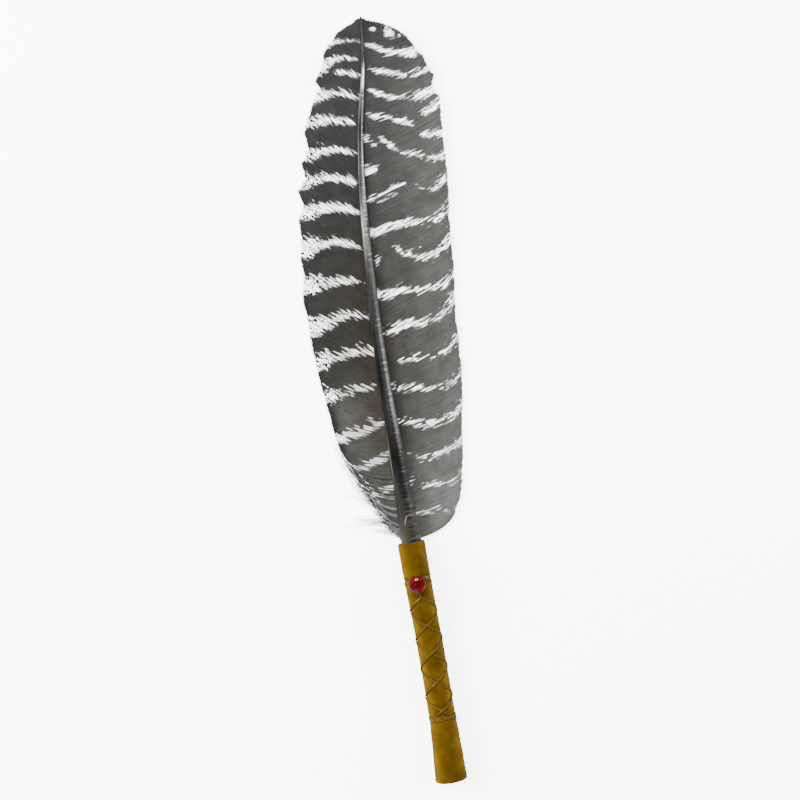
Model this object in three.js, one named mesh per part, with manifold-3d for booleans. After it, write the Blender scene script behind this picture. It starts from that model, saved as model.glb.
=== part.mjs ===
// A turkey wing feather with a rolled leather handle, laced with sinew through one glass bead.
// Millimetres, +Z up. The feather lies on its back with the grooved side of the shaft up:
// +Y runs from the handle to the tip and +X is the side of the wide vane.

import * as THREE from "three";
import { ParametricGeometry } from "three/addons/geometries/ParametricGeometry.js";
import { mergeVertices } from "three/addons/utils/BufferGeometryUtils.js";
import Module from "manifold-3d";

const wasm = await Module();
wasm.setup();

const HANDLE_LENGTH = 90;
const AXIS_HEIGHT = 5.68; // handle axis above the ground
const GAP = 0.3; // clearance between touching pieces

const VANE_THICKNESS = 0.8;
const BARB_RIDGE = 0.14; // height of the ridges that follow the barbs
const BARB_TOOTH = 0.45; // how far every other ridge reaches past the margin
const WIDE_ROWS = 98;
const NARROW_ROWS = 94;

const SHEET_STEP = 0.7; // thickness of the leather's free edge
const SEAM_ANGLE = 215; // degrees round from +X, on the underside

const STRAND_WIDTH = 1.1;
const STRAND_THICKNESS = 0.56;
const LACE_PITCH = 21.4; // one turn of a strand, along the handle
const FIRST_CROSSING = -20.4;
const BAND_Y = -65.6;
const STEPS_PER_TURN = 12;

const BEAD_RADIUS = 3.2;
const BEAD_HOLE = 1.05;
const BEAD_CENTRE = new THREE.Vector3(-0.43, -14.9, AXIS_HEIGHT + 8.5);

// [y, centre x, width, height, underside z, groove depth]
const SHAFT = [
  [-62, 0.35, 1.2, 1.2, 5.08, 0],
  [-60, 0.4, 3.6, 3.4, 3.98, 0],
  [-55, 0.45, 5.4, 5.2, 3.08, 0],
  [-45, 0.45, 6.2, 6.0, 2.68, 0],
  [-30, 0.3, 6.8, 6.6, 2.38, 0],
  [-15, 0, 7.4, 7.1, 2.13, 0],
  [0, 0, 7.8, 7.4, 1.98, 0],
  [4, 0, 7.5, 7.1, 1.85, 0.1],
  [9, 0, 7.1, 6.6, 1.65, 0.8],
  [16, -0.05, 6.7, 6.0, 1.4, 1.2],
  [25, 0, 6.1, 5.5, 1.1, 1.2],
  [35, 0.05, 5.6, 5.0, 0.85, 1.1],
  [50, 0.05, 4.8, 4.5, 0.6, 1.0],
  [65, 0.2, 4.5, 4.1, 0.47, 0.9],
  [80, 0.4, 4.3, 3.8, 0.45, 0.85],
  [95, 1.15, 3.8, 3.4, 0.45, 0.75],
  [110, 2.2, 3.1, 3.0, 0.48, 0.65],
  [125, 3.2, 2.85, 2.6, 0.75, 0.6],
  [140, 4.8, 2.2, 2.3, 1.3, 0.5],
  [155, 7.0, 1.95, 1.9, 2.1, 0.4],
  [168, 9.8, 1.7, 1.6, 3.0, 0.3],
  [180, 12.3, 1.15, 1.3, 4.0, 0.2],
  [188, 13.6, 0.9, 1.1, 4.75, 0.1],
  [194.5, 14.2, 0.7, 1.0, 5.4, 0],
];

// Margin of the wide vane: [y where the barb leaves the shaft, x of its tip, y of its tip]
const WIDE_MARGIN = [
  [0.9, 18.4, 8.4], [1.6, 18.7, 9.6], [2.6, 19.8, 11.2], [8, 22.3, 16], [14, 23.2, 21],
  [20, 24.6, 27.5], [26, 25.3, 34], [32, 26.6, 41], [38, 27.8, 48], [44, 28.9, 55],
  [50, 29.7, 62], [58, 30.2, 71], [66, 30.5, 80], [74, 31.5, 88.5], [82, 32.9, 97],
  [90, 33.7, 104.5], [98, 34.3, 112], [106, 35.0, 119.5], [114, 36.0, 127], [122, 36.6, 134],
  [130, 37.2, 141], [138, 37.4, 148], [146, 38.2, 155], [153, 38.6, 162.5], [158, 36.6, 166.5],
  [162, 37.9, 171], [168, 35.6, 175.5], [173, 35.0, 179], [177, 32.6, 181.6], [180.5, 31.8, 184],
  [184, 29.9, 187], [187, 26.8, 190.4], [189.5, 22.5, 192.8], [191.5, 18.2, 194.6], [193.4, 14.8, 196],
];

const NARROW_MARGIN = [
  [0.9, -5.0, 5.5], [4, -8.0, 11], [8, -11.0, 16.5], [12, -12.6, 20.5], [16, -14.8, 24.5],
  [20, -17.2, 29], [25, -19.4, 34], [30, -21.0, 39], [36, -22.0, 46], [42, -22.8, 55],
  [48, -23.8, 64], [54, -24.6, 72], [60, -24.6, 78.5], [66, -24.6, 85], [72, -25.0, 92],
  [78, -24.9, 98.5], [84, -23.0, 105.5], [90, -23.7, 112], [96, -22.0, 119], [102, -21.4, 125.5],
  [108, -19.0, 131], [114, -19.9, 136.5], [120, -17.0, 141], [126, -16.8, 147], [132, -13.5, 151.5],
  [138, -14.2, 157.5], [144, -11.5, 163.5], [150, -9.0, 169], [155, -5.5, 173], [160, -6.6, 176.5],
  [166, -2.3, 182], [171, -1.8, 186], [176, 2.6, 190.2], [181, 4.4, 192.6], [186, 8.2, 194.2],
  [190, 11.4, 195.4], [193.4, 13.9, 196.2],
];

// Direction of the barbs, degrees above the crosswise direction: [y, at the shaft, at the margin]
const WIDE_SWEEP = [
  [0, 3, 62], [15, 8, 60], [40, 22, 58], [80, 25, 54], [120, 22, 40],
  [150, 12, 30], [170, 8, 30], [180, 14, 35], [187, 28, 42], [194, 65, 70],
];
const NARROW_SWEEP = [
  [0, 4, 66], [25, 3, 62], [40, 16, 55], [55, 34, 42], [75, 46, 36], [95, 50, 38],
  [140, 50, 46], [170, 50, 44], [185, 58, 38], [194, 80, 70],
];

// Loose locks of down beside the narrow vane's foot: [y at the shaft, tip x, tip y, sweep]
const DOWN_LOCKS = [
  [3.5, -16.5, 7.5, 4], [6, -23.5, 13.4, 6], [8.5, -28, 10, 4],
  [12, -24.5, 42.5, -4], [15, -25.5, 22.3, 2], [18, -20.8, 29.5, 4],
];

// [y, centre x, radius]
const LEATHER = [
  [0, -0.05, 4.75], [-0.9, -0.05, 5.0], [-8, -0.05, 4.95], [-16, 0, 4.9], [-22, 0.1, 4.8], [-30, 0.35, 4.7],
  [-40, 0.5, 4.75], [-50, 0.55, 4.75], [-60, 0.5, 4.8], [-65.5, 0.55, 4.75], [-70, 0.5, 5.0],
  [-76, 0.35, 5.25], [-83, 0.15, 5.55], [-89.1, -0.05, 5.85], [-HANDLE_LENGTH, -0.05, 5.6],
];

const radians = THREE.MathUtils.degToRad;

// Reads a table of rows [position, value, value...] between its rows.
function reader(rows, smooth = false) {
  const sorted = [...rows].sort((a, b) => a[0] - b[0]);
  const Kind = smooth ? THREE.CubicInterpolant : THREE.LinearInterpolant;
  const curve = new Kind(
    sorted.map((row) => row[0]),
    sorted.flatMap((row) => row.slice(1)),
    rows[0].length - 1,
  );
  const first = sorted[0][0];
  const last = sorted[sorted.length - 1][0];
  return (position) => [...curve.evaluate(THREE.MathUtils.clamp(position, first, last))];
}

const shaftAt = reader(SHAFT);
const leatherAt = reader(LEATHER);

// A closed geometry becomes a solid once its shared vertices are merged.
function solid(geometry) {
  geometry.deleteAttribute("normal");
  geometry.deleteAttribute("uv");
  const merged = mergeVertices(geometry, 1e-3);
  const index = merged.getIndex().array;
  const faces = [];
  for (let i = 0; i < index.length; i += 3) {
    const [a, b, c] = [index[i], index[i + 1], index[i + 2]];
    if (a !== b && b !== c && c !== a) faces.push(a, b, c);
  }
  const build = (order) => new wasm.Manifold(new wasm.Mesh({
    numProp: 3,
    vertProperties: new Float32Array(merged.getAttribute("position").array),
    triVerts: new Uint32Array(order),
  }));
  const made = build(faces);
  return made.volume() > 0 ? made : build(faces.reverse());
}

function joined(solids) {
  return solids.reduce((whole, piece) => whole.add(piece));
}

function toGeometry(manifold) {
  const mesh = manifold.getMesh();
  const geometry = new THREE.BufferGeometry();
  geometry.setAttribute("position", new THREE.BufferAttribute(new Float32Array(mesh.vertProperties), 3));
  geometry.setIndex(new THREE.BufferAttribute(new Uint32Array(mesh.triVerts), 1));
  geometry.computeVertexNormals();
  return geometry;
}

// Closed loft: section(k, t) gives point k of the ring at ring number t. The end rings close to a point
// each, or, when "flat" is set, are already folded shut by the section itself.
function loft(section, sides, rings, flat = false) {
  const point = new THREE.Vector3();
  const centre = (t) => {
    const sum = new THREE.Vector3();
    for (let k = 0; k < sides; k += 1) sum.add(section(k, t));
    return sum.divideScalar(sides);
  };
  const stacks = flat ? rings - 1 : rings + 1;
  const surface = (u, v, target) => {
    const k = Math.round(u * sides) % sides;
    const stack = Math.round(v * stacks);
    if (flat) point.copy(section(k, stack));
    else if (stack === 0) point.copy(centre(0));
    else if (stack === stacks) point.copy(centre(rings - 1));
    else point.copy(section(k, stack - 1));
    target.copy(point);
  };
  return solid(new ParametricGeometry(surface, sides, stacks));
}

// The quill and shaft: oval inside the handle, then boxy with a groove along the upper side.
function shaft() {
  const stations = SHAFT.map((row) => row[0]);
  const sides = 12;
  const section = (k, t) => {
    const [x, width, height, under, groove] = shaftAt(stations[t]);
    const angle = (k / sides) * Math.PI * 2;
    const boxy = groove > 0 ? 0.8 : 1;
    const round = (value) => Math.sign(value) * Math.abs(value) ** boxy;
    const across = round(Math.cos(angle)) * 0.5;
    const up = round(Math.sin(angle)) * 0.5;
    const sunk = up > 0.4 ? groove : 0;
    return new THREE.Vector3(x + across * width, stations[t], under + (up + 0.5) * height - sunk);
  };
  return loft(section, sides, stations.length);
}

// Underside of the vanes: attached low on the shaft, resting a little way out, rising to the margins.
function vaneUnderside(x, y) {
  const [shaftX, , , under] = shaftAt(THREE.MathUtils.clamp(y, 0, 194.5));
  const out = Math.abs(x - shaftX);
  const droop = 0.45 * (1 - Math.exp(-((out / 8) ** 2)));
  const curl = 3.4 * (Math.max(out - 15, 0) / 23) ** 2;
  return under - droop + curl;
}

// Path of one barb from the shaft to the margin.
function barbPath(rootY, tipX, tipY, sweepRoot, sweepTip) {
  const side = Math.sign(tipX - shaftAt(rootY)[0]);
  const root = new THREE.Vector2(shaftAt(rootY)[0], rootY);
  const tip = new THREE.Vector2(tipX, tipY);
  const length = root.distanceTo(tip);
  const leave = new THREE.Vector2(side * Math.cos(radians(sweepRoot)), Math.sin(radians(sweepRoot)));
  const arrive = new THREE.Vector2(side * Math.cos(radians(sweepTip)), Math.sin(radians(sweepTip)));
  const first = root.clone().addScaledVector(leave, length * 0.42);
  const second = tip.clone().addScaledVector(arrive, -length * 0.26);
  return new THREE.CubicBezierCurve(root, first, second, tip);
}

function vane(margin, sweep, rows, columns) {
  const marginAt = reader(margin);
  const sweepAt = reader(sweep, true);
  const start = margin[0][0];
  const end = margin[margin.length - 1][0];
  const paths = [];
  for (let row = 0; row < rows; row += 1) {
    const rootY = start + ((end - start) * row) / (rows - 1);
    const [tipX, tipY] = marginAt(rootY);
    const [atShaft, atMargin] = sweepAt(rootY);
    const tooth = row % 2 ? BARB_TOOTH : 0;
    const turn = radians(atMargin);
    const side = Math.sign(tipX - shaftAt(rootY)[0]);
    const inside = row > 0 && row < rows - 1 ? tooth : 0;
    paths.push(barbPath(
      rootY,
      tipX + side * inside * Math.cos(turn),
      tipY + inside * Math.sin(turn),
      atShaft,
      atMargin,
    ));
  }
  const section = (k, t) => {
    const above = k < columns;
    const column = above ? k : 2 * columns - 1 - k;
    const at = paths[t].getPoint(column / (columns - 1));
    const closed = t === 0 || t === rows - 1;
    const ridge = column > 0 ? BARB_RIDGE * (t % 2 ? 1 : -1) : 0;
    const thin = column === columns - 1 ? 0.6 : 1;
    const lift = closed ? VANE_THICKNESS / 2 : above ? VANE_THICKNESS * thin + ridge : 0;
    return new THREE.Vector3(at.x, at.y, vaneUnderside(at.x, at.y) + lift);
  };
  return loft(section, columns * 2, rows, true);
}

function downLock([rootY, tipX, tipY, sweep]) {
  const path = barbPath(rootY, tipX, tipY, sweep, tipY > 35 ? 68 : 12);
  const rings = 7;
  const section = (k, t) => {
    const along = t / (rings - 1);
    const at = path.getPoint(along);
    const way = path.getTangent(along);
    const width = 0.95 * (1 - along) ** 0.6 + 0.22;
    const tall = 0.32;
    const [side, up] = [[1, 0], [0, 1], [-1, 0], [0, -1]][k];
    const middle = vaneUnderside(Math.max(at.x, -26), at.y) + 0.42 + 0.5 * along;
    return new THREE.Vector3(
      at.x - way.y * side * width,
      at.y + way.x * side * width,
      middle + up * tall,
    );
  };
  return loft(section, 4, rings);
}

function feather() {
  return joined([
    shaft(),
    vane(WIDE_MARGIN, WIDE_SWEEP, WIDE_ROWS, 5),
    vane(NARROW_MARGIN, NARROW_SWEEP, NARROW_ROWS, 4),
    ...DOWN_LOCKS.map(downLock),
  ]);
}

// Outside of the rolled leather at an angle in degrees round from +X: a spiral that ends in a step.
function leatherRadius(angle, radius) {
  const turn = THREE.MathUtils.euclideanModulo(angle - SEAM_ANGLE, 360) / 360;
  return radius + SHEET_STEP * (turn - 0.5);
}

function leatherWrap() {
  const sides = 24;
  const angles = [];
  for (let k = 0; k < sides; k += 1) angles.push(SEAM_ANGLE + 0.01 + (359.98 * k) / (sides - 1));
  const rolled = loft((k, t) => {
    const [y, centre, base] = LEATHER[t];
    const radius = leatherRadius(angles[k], base);
    const turn = radians(k === sides - 1 ? SEAM_ANGLE - 1.5 : angles[k]);
    return new THREE.Vector3(
      centre + 0.1 + radius * Math.cos(turn),
      y,
      AXIS_HEIGHT + radius * Math.sin(turn),
    );
  }, sides, LEATHER.length);
  const depths = [3, -0.5, -15, -30, -45, -55, -60.2, -62.8];
  const bore = loft((k, t) => {
    const y = Math.min(depths[t], 0);
    const [x, width, height, under] = shaftAt(Math.max(y, -62));
    const turn = (k / 16) * Math.PI * 2;
    return new THREE.Vector3(
      x + (width / 2 + GAP) * Math.cos(turn),
      depths[t],
      under + height / 2 + (height / 2 + GAP) * Math.sin(turn),
    );
  }, 16, depths.length);
  return rolled.subtract(bore);
}

// Where a strand of the lacing lies on the leather; turn is in degrees from the top towards +X.
function onHandle(turn, y, lift) {
  const [centre, base] = leatherAt(y);
  let radius = 0;
  for (let near = -26; near <= 26; near += 13) {
    radius = Math.max(radius, leatherRadius(90 - turn + near, base));
  }
  const out = radius + GAP + lift;
  const angle = radians(turn);
  return new THREE.Vector3(centre + out * Math.sin(angle), y, AXIS_HEIGHT + out * Math.cos(angle));
}

// A flat strand laid on the handle along [turn, y] stations.
function strand(stations, lift) {
  const heightAt = reader(stations);
  const sorted = stations.map((row) => row[0]).sort((a, b) => a - b);
  const from = sorted[0];
  const to = sorted[sorted.length - 1];
  const rings = Math.round(((to - from) * STEPS_PER_TURN) / 360) + 1;
  const turnOf = (t) => from + ((to - from) * t) / (rings - 1);
  const section = (k, t) => {
    const turn = turnOf(t);
    const step = 4;
    const before = onHandle(turn - step, heightAt(turn - step)[0], 0);
    const after = onHandle(turn + step, heightAt(turn + step)[0], 0);
    const along = after.sub(before).normalize();
    const out = new THREE.Vector3(Math.sin(radians(turn)), 0, Math.cos(radians(turn)));
    const across = new THREE.Vector3().crossVectors(along, out).normalize();
    const [side, up] = [[0.5, 0], [0.4, 1], [-0.4, 1], [-0.5, 0]][k];
    return onHandle(turn, heightAt(turn)[0], lift)
      .addScaledVector(across, side * STRAND_WIDTH)
      .addScaledVector(out, up * STRAND_THICKNESS);
  };
  return loft(section, 4, rings);
}

function mirrored(stations) {
  return stations.map(([turn, y]) => [-turn, y]);
}

function tube(points, radius) {
  const shape = new THREE.Shape();
  for (let k = 0; k < 6; k += 1) {
    const turn = (k / 6) * Math.PI * 2;
    const point = [radius * Math.cos(turn), radius * Math.sin(turn)];
    if (k === 0) shape.moveTo(...point);
    else shape.lineTo(...point);
  }
  shape.closePath();
  return solid(new THREE.ExtrudeGeometry(shape, {
    steps: 8,
    extrudePath: new THREE.CatmullRomCurve3(points),
  }));
}

// Two laces cross down the handle, pass lengthwise through the bead and end in a band of two turns.
function sinewLacing() {
  const lastTurn = (2 * 180 * (FIRST_CROSSING - BAND_Y)) / LACE_PITCH;
  const fromBead = [[-3, FIRST_CROSSING + 0.2], [lastTurn, BAND_Y]];
  const overBead = [
    [0, -11.6], [25, -12.4], [60, -13.6], [90, FIRST_CROSSING + LACE_PITCH / 4],
    [180 + lastTurn, BAND_Y],
  ];
  const round = [[0, -11.4], [25, -11.9], [60, -12.6], [90, -12.9], [270, -12.9], [300, -12.6], [335, -11.9], [360, -11.4]];
  const band = (y) => [[0, y], [362, y]];
  const x = BEAD_CENTRE.x;
  const z = BEAD_CENTRE.z;
  const throughBead = tube([
    new THREE.Vector3(x + 0.3, -11.5, AXIS_HEIGHT + 5.2),
    new THREE.Vector3(x, BEAD_CENTRE.y + BEAD_RADIUS + 0.75, z - 1.1),
    new THREE.Vector3(x, BEAD_CENTRE.y + BEAD_RADIUS - 0.4, z),
    new THREE.Vector3(x, BEAD_CENTRE.y - BEAD_RADIUS + 0.4, z),
    new THREE.Vector3(x, BEAD_CENTRE.y - BEAD_RADIUS - 0.75, z - 1.1),
    new THREE.Vector3(x + 0.4, FIRST_CROSSING + 0.3, AXIS_HEIGHT + 5.5),
  ], 0.62);
  return joined([
    throughBead,
    strand(round, 0),
    strand(fromBead, 0),
    strand(mirrored(fromBead), 0.12),
    strand(overBead, 0),
    strand(mirrored(overBead), 0.12),
    strand(band(BAND_Y), 0.05),
    strand(band(BAND_Y - 1), 0.1),
  ]);
}

function glassBead() {
  const profile = [];
  const flat = Math.asin((BEAD_HOLE + 0.25) / BEAD_RADIUS);
  for (let k = 0; k <= 8; k += 1) {
    const angle = flat + ((Math.PI - 2 * flat) * k) / 8;
    profile.push(new THREE.Vector2(BEAD_RADIUS * Math.sin(angle), -BEAD_RADIUS * Math.cos(angle)));
  }
  profile.push(new THREE.Vector2(BEAD_HOLE, 0.92 * BEAD_RADIUS * Math.cos(flat)));
  profile.push(new THREE.Vector2(BEAD_HOLE, -0.92 * BEAD_RADIUS * Math.cos(flat)));
  profile.push(profile[0].clone());
  return solid(new THREE.LatheGeometry(profile, 16));
}

const featherMaterial = new THREE.MeshStandardMaterial({ color: 0x5f5f5b, roughness: 0.6, metalness: 0 });
const leatherMaterial = new THREE.MeshStandardMaterial({ color: 0x93680c, roughness: 0.55, metalness: 0 });
const sinewMaterial = new THREE.MeshStandardMaterial({ color: 0xa08a4e, roughness: 0.4, metalness: 0 });
const glassMaterial = new THREE.MeshStandardMaterial({ color: 0x960f08, roughness: 0.05, metalness: 0 });

function piece(name, manifold, material) {
  const mesh = new THREE.Mesh(toGeometry(manifold), material);
  mesh.name = name;
  return mesh;
}

const bead = piece("glass_bead", glassBead(), glassMaterial);
bead.position.copy(BEAD_CENTRE);

const object = new THREE.Group();
object.name = "turkey_wing_feather";
object.add(piece("feather", feather(), featherMaterial));
object.add(piece("leather_wrap", leatherWrap(), leatherMaterial));
object.add(piece("sinew_lacing", sinewLacing(), sinewMaterial));
object.add(bead);

// The origin is the middle of the bounding box, on the ground.
const box = new THREE.Box3().setFromObject(object, true);
object.position.set(-(box.min.x + box.max.x) / 2, -(box.min.y + box.max.y) / 2, -box.min.z);

export default object;
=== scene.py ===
import math

import bmesh
import bpy
import numpy as np
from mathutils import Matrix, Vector, noise


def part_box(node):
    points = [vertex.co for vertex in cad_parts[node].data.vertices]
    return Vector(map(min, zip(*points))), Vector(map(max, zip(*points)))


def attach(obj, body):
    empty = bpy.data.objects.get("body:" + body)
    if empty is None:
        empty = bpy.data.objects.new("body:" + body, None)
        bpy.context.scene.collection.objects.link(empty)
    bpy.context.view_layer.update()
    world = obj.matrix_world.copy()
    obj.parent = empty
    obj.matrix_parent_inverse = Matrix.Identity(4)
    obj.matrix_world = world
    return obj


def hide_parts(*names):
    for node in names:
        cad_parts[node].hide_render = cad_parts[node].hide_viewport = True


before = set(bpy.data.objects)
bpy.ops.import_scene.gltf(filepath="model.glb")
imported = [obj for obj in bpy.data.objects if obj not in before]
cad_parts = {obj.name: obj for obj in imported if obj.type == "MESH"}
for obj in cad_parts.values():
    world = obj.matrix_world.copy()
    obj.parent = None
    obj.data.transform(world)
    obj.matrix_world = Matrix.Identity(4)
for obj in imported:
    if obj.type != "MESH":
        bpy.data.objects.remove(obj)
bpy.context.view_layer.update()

bl_info = {
    "name": "Laced Wing Feather",
    "version": (1, 0, 0),
    "blender": (4, 5, 0),
    "location": "View3D > Sidebar > Feather",
    "description": "A barred wing feather with a leather handle, sinew lacing and a glass bead",
    "category": "Add Mesh",
}

MM = 0.001

# The drawing frame starts in the mouth of the handle, with +Y towards the feather's tip, in millimetres.
# The bead ties it to the loaded frame.
AXIS_HEIGHT = 5.68
BEAD_PLACE = (-0.43, -14.9, AXIS_HEIGHT + 8.5)
BEAD_BOX = [np.array(corner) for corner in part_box("glass_bead")]
SHIFT = (BEAD_BOX[0] + BEAD_BOX[1]) / 2 / MM - np.array(BEAD_PLACE)

# [y, centre x, width, height, underside z, groove depth]
SHAFT = np.array([
    (-62, 0.35, 1.2, 1.2, 5.08, 0), (-60, 0.4, 3.6, 3.4, 3.98, 0), (-55, 0.45, 5.4, 5.2, 3.08, 0),
    (-45, 0.45, 6.2, 6.0, 2.68, 0), (-30, 0.3, 6.8, 6.6, 2.38, 0), (-15, 0, 7.4, 7.1, 2.13, 0),
    (0, 0, 7.8, 7.4, 1.98, 0), (4, 0, 7.5, 7.1, 1.85, 0.1), (9, 0, 7.1, 6.6, 1.65, 0.8),
    (16, -0.05, 6.7, 6.0, 1.4, 1.2), (25, 0, 6.1, 5.5, 1.1, 1.2), (35, 0.05, 5.6, 5.0, 0.85, 1.1),
    (50, 0.05, 4.8, 4.5, 0.6, 1.0), (65, 0.2, 4.5, 4.1, 0.47, 0.9), (80, 0.4, 4.3, 3.8, 0.45, 0.85),
    (95, 1.15, 3.8, 3.4, 0.45, 0.75), (110, 2.2, 3.1, 3.0, 0.48, 0.65), (125, 3.2, 2.85, 2.6, 0.75, 0.6),
    (140, 4.8, 2.2, 2.3, 1.3, 0.5), (155, 7.0, 1.95, 1.9, 2.1, 0.4), (168, 9.8, 1.7, 1.6, 3.0, 0.3),
    (180, 12.3, 1.15, 1.3, 4.0, 0.2), (188, 13.6, 0.9, 1.1, 4.75, 0.1), (194, 14.1, 0.7, 1.0, 5.4, 0),
    (195, 14.2, 0.35, 0.5, 5.6, 0),
])

# [y where the barb leaves the shaft, x of its tip, y of its tip]
WIDE_MARGIN = np.array([
    (0.9, 18.4, 8.4), (1.6, 18.7, 9.6), (2.6, 19.8, 11.2), (8, 22.3, 16), (14, 23.2, 21),
    (20, 24.6, 27.5), (26, 25.3, 34), (32, 26.6, 41), (38, 27.8, 48), (44, 28.9, 55),
    (50, 29.7, 62), (58, 30.2, 71), (66, 30.5, 80), (74, 31.5, 88.5), (82, 32.9, 97),
    (90, 33.7, 104.5), (98, 34.3, 112), (106, 35.0, 119.5), (114, 36.0, 127), (122, 36.6, 134),
    (130, 37.2, 141), (138, 37.4, 148), (146, 38.2, 155), (153, 38.6, 162.5), (158, 36.6, 166.5),
    (162, 37.9, 171), (168, 35.6, 175.5), (173, 35.0, 179), (177, 32.6, 181.6), (180.5, 31.8, 184),
    (184, 29.9, 187), (187, 26.8, 190.4), (189.5, 22.5, 192.8), (191.5, 18.2, 194.6), (192.6, 15.6, 195.8),
    (193.4, 14.25, 196.1),
])
NARROW_MARGIN = np.array([
    (0.9, -5.0, 5.5), (4, -8.0, 11), (8, -11.0, 16.5), (12, -12.6, 20.5), (16, -14.8, 24.5),
    (20, -17.2, 29), (25, -19.4, 34), (30, -21.0, 39), (36, -22.0, 46), (42, -22.8, 55),
    (48, -23.8, 64), (54, -24.6, 72), (60, -24.6, 78.5), (66, -24.6, 85), (72, -25.0, 92),
    (78, -24.9, 98.5), (84, -23.0, 105.5), (90, -23.7, 112), (96, -22.0, 119), (102, -21.4, 125.5),
    (108, -19.0, 131), (114, -19.9, 136.5), (120, -17.0, 141), (126, -16.8, 147), (132, -13.5, 151.5),
    (138, -14.2, 157.5), (144, -11.5, 163.5), (150, -9.0, 169), (155, -5.5, 173), (160, -6.6, 176.5),
    (166, -2.3, 182), (171, -2.2, 185.6), (176, 1.8, 189.6), (181, 3.8, 192.0), (186, 7.6, 193.7),
    (190, 10.8, 195.2), (192.6, 12.8, 196.0), (193.4, 14.5, 196.2),
])

# Direction of the barbs, degrees above the crosswise direction: [y, at the shaft, at the margin]
WIDE_SWEEP = np.array([
    (0, 3, 62), (15, 8, 60), (40, 22, 58), (80, 25, 54), (120, 22, 40),
    (150, 12, 30), (170, 8, 30), (180, 14, 35), (187, 28, 42), (194, 65, 70),
])
NARROW_SWEEP = np.array([
    (0, 4, 66), (25, 3, 62), (40, 16, 55), (55, 34, 42), (75, 46, 36), (95, 50, 38),
    (140, 50, 46), (170, 50, 44), (185, 58, 38), (194, 80, 70),
])

# White bars, each a line of (x, y, thickness) from the shaft outwards.
NARROW_BARS = [
    [(13.2, 187.1, 0.3), (8.2, 188.5, 0.5), (4, 188.8, 0.5), (-0.5, 188.6, 1.2)],
    [(9.9, 181.2, 0.6), (5.2, 182.6, 1.1), (0.5, 182.1, 2.2), (-4.5, 179.8, 3.8)],
    [(10, 174.9, 1.2), (6.2, 176.6, 1.7), (3.5, 177.4, 1.4), (1.6, 177.6, 0.4)],
    [(8.4, 167, 1.2), (4.1, 169.3, 2.2), (-0.9, 170.8, 2.8), (-8, 170.2, 4.2)],
    [(4.6, 158.6, 1.8), (1, 159.6, 2.8), (-4, 161, 3.2), (-13, 161.2, 3.4)],
    [(3.6, 146.8, 1), (0.6, 148.3, 2.2), (-4, 149.8, 2.6), (-9, 150.2, 3), (-14, 149, 3.4)],
    [(1.9, 135.6, 1.2), (-1.1, 138, 2.6), (-6, 139.3, 2.6), (-11, 140.2, 3.2), (-18, 139.6, 4.6)],
    [(0.8, 125.2, 2), (-3.2, 127.2, 3), (-8.2, 128.9, 3.2), (-19.5, 128.4, 5.4)],
    [(-0.8, 112, 1.8), (-5.2, 114.4, 3), (-10.2, 116.2, 3.4), (-16.3, 116, 6), (-22, 115, 7.4)],
    [(-1.3, 99, 1.6), (-6.3, 100.3, 2.6), (-12.3, 101, 3.6), (-22.4, 101, 6.4)],
    [(-2, 85.6, 1.6), (-7.4, 87.8, 2.6), (-12.4, 87.4, 3.8), (-18.5, 86, 5.6), (-24.3, 84.8, 8)],
    [(-2.6, 73, 3.6), (-7.6, 73.4, 3.6), (-19.5, 73, 4.6), (-24.6, 71.4, 6.6)],
    [(-5, 59.4, 1.6), (-9.6, 59.6, 2.4), (-14.6, 58.8, 3.2), (-23.2, 58.2, 6)],
    [(-3.8, 45.8, 3.6), (-8.7, 44.6, 4), (-13.7, 43.2, 4), (-19.6, 43, 4.6)],
    [(-3.9, 33, 2.6), (-7.8, 31.6, 3.4), (-12.6, 30.4, 2.6), (-15, 30.6, 1.6)],
    [(-3.9, 20.6, 1.8), (-7.8, 19.5, 1.8), (-11, 19, 1.2)],
]
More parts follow.
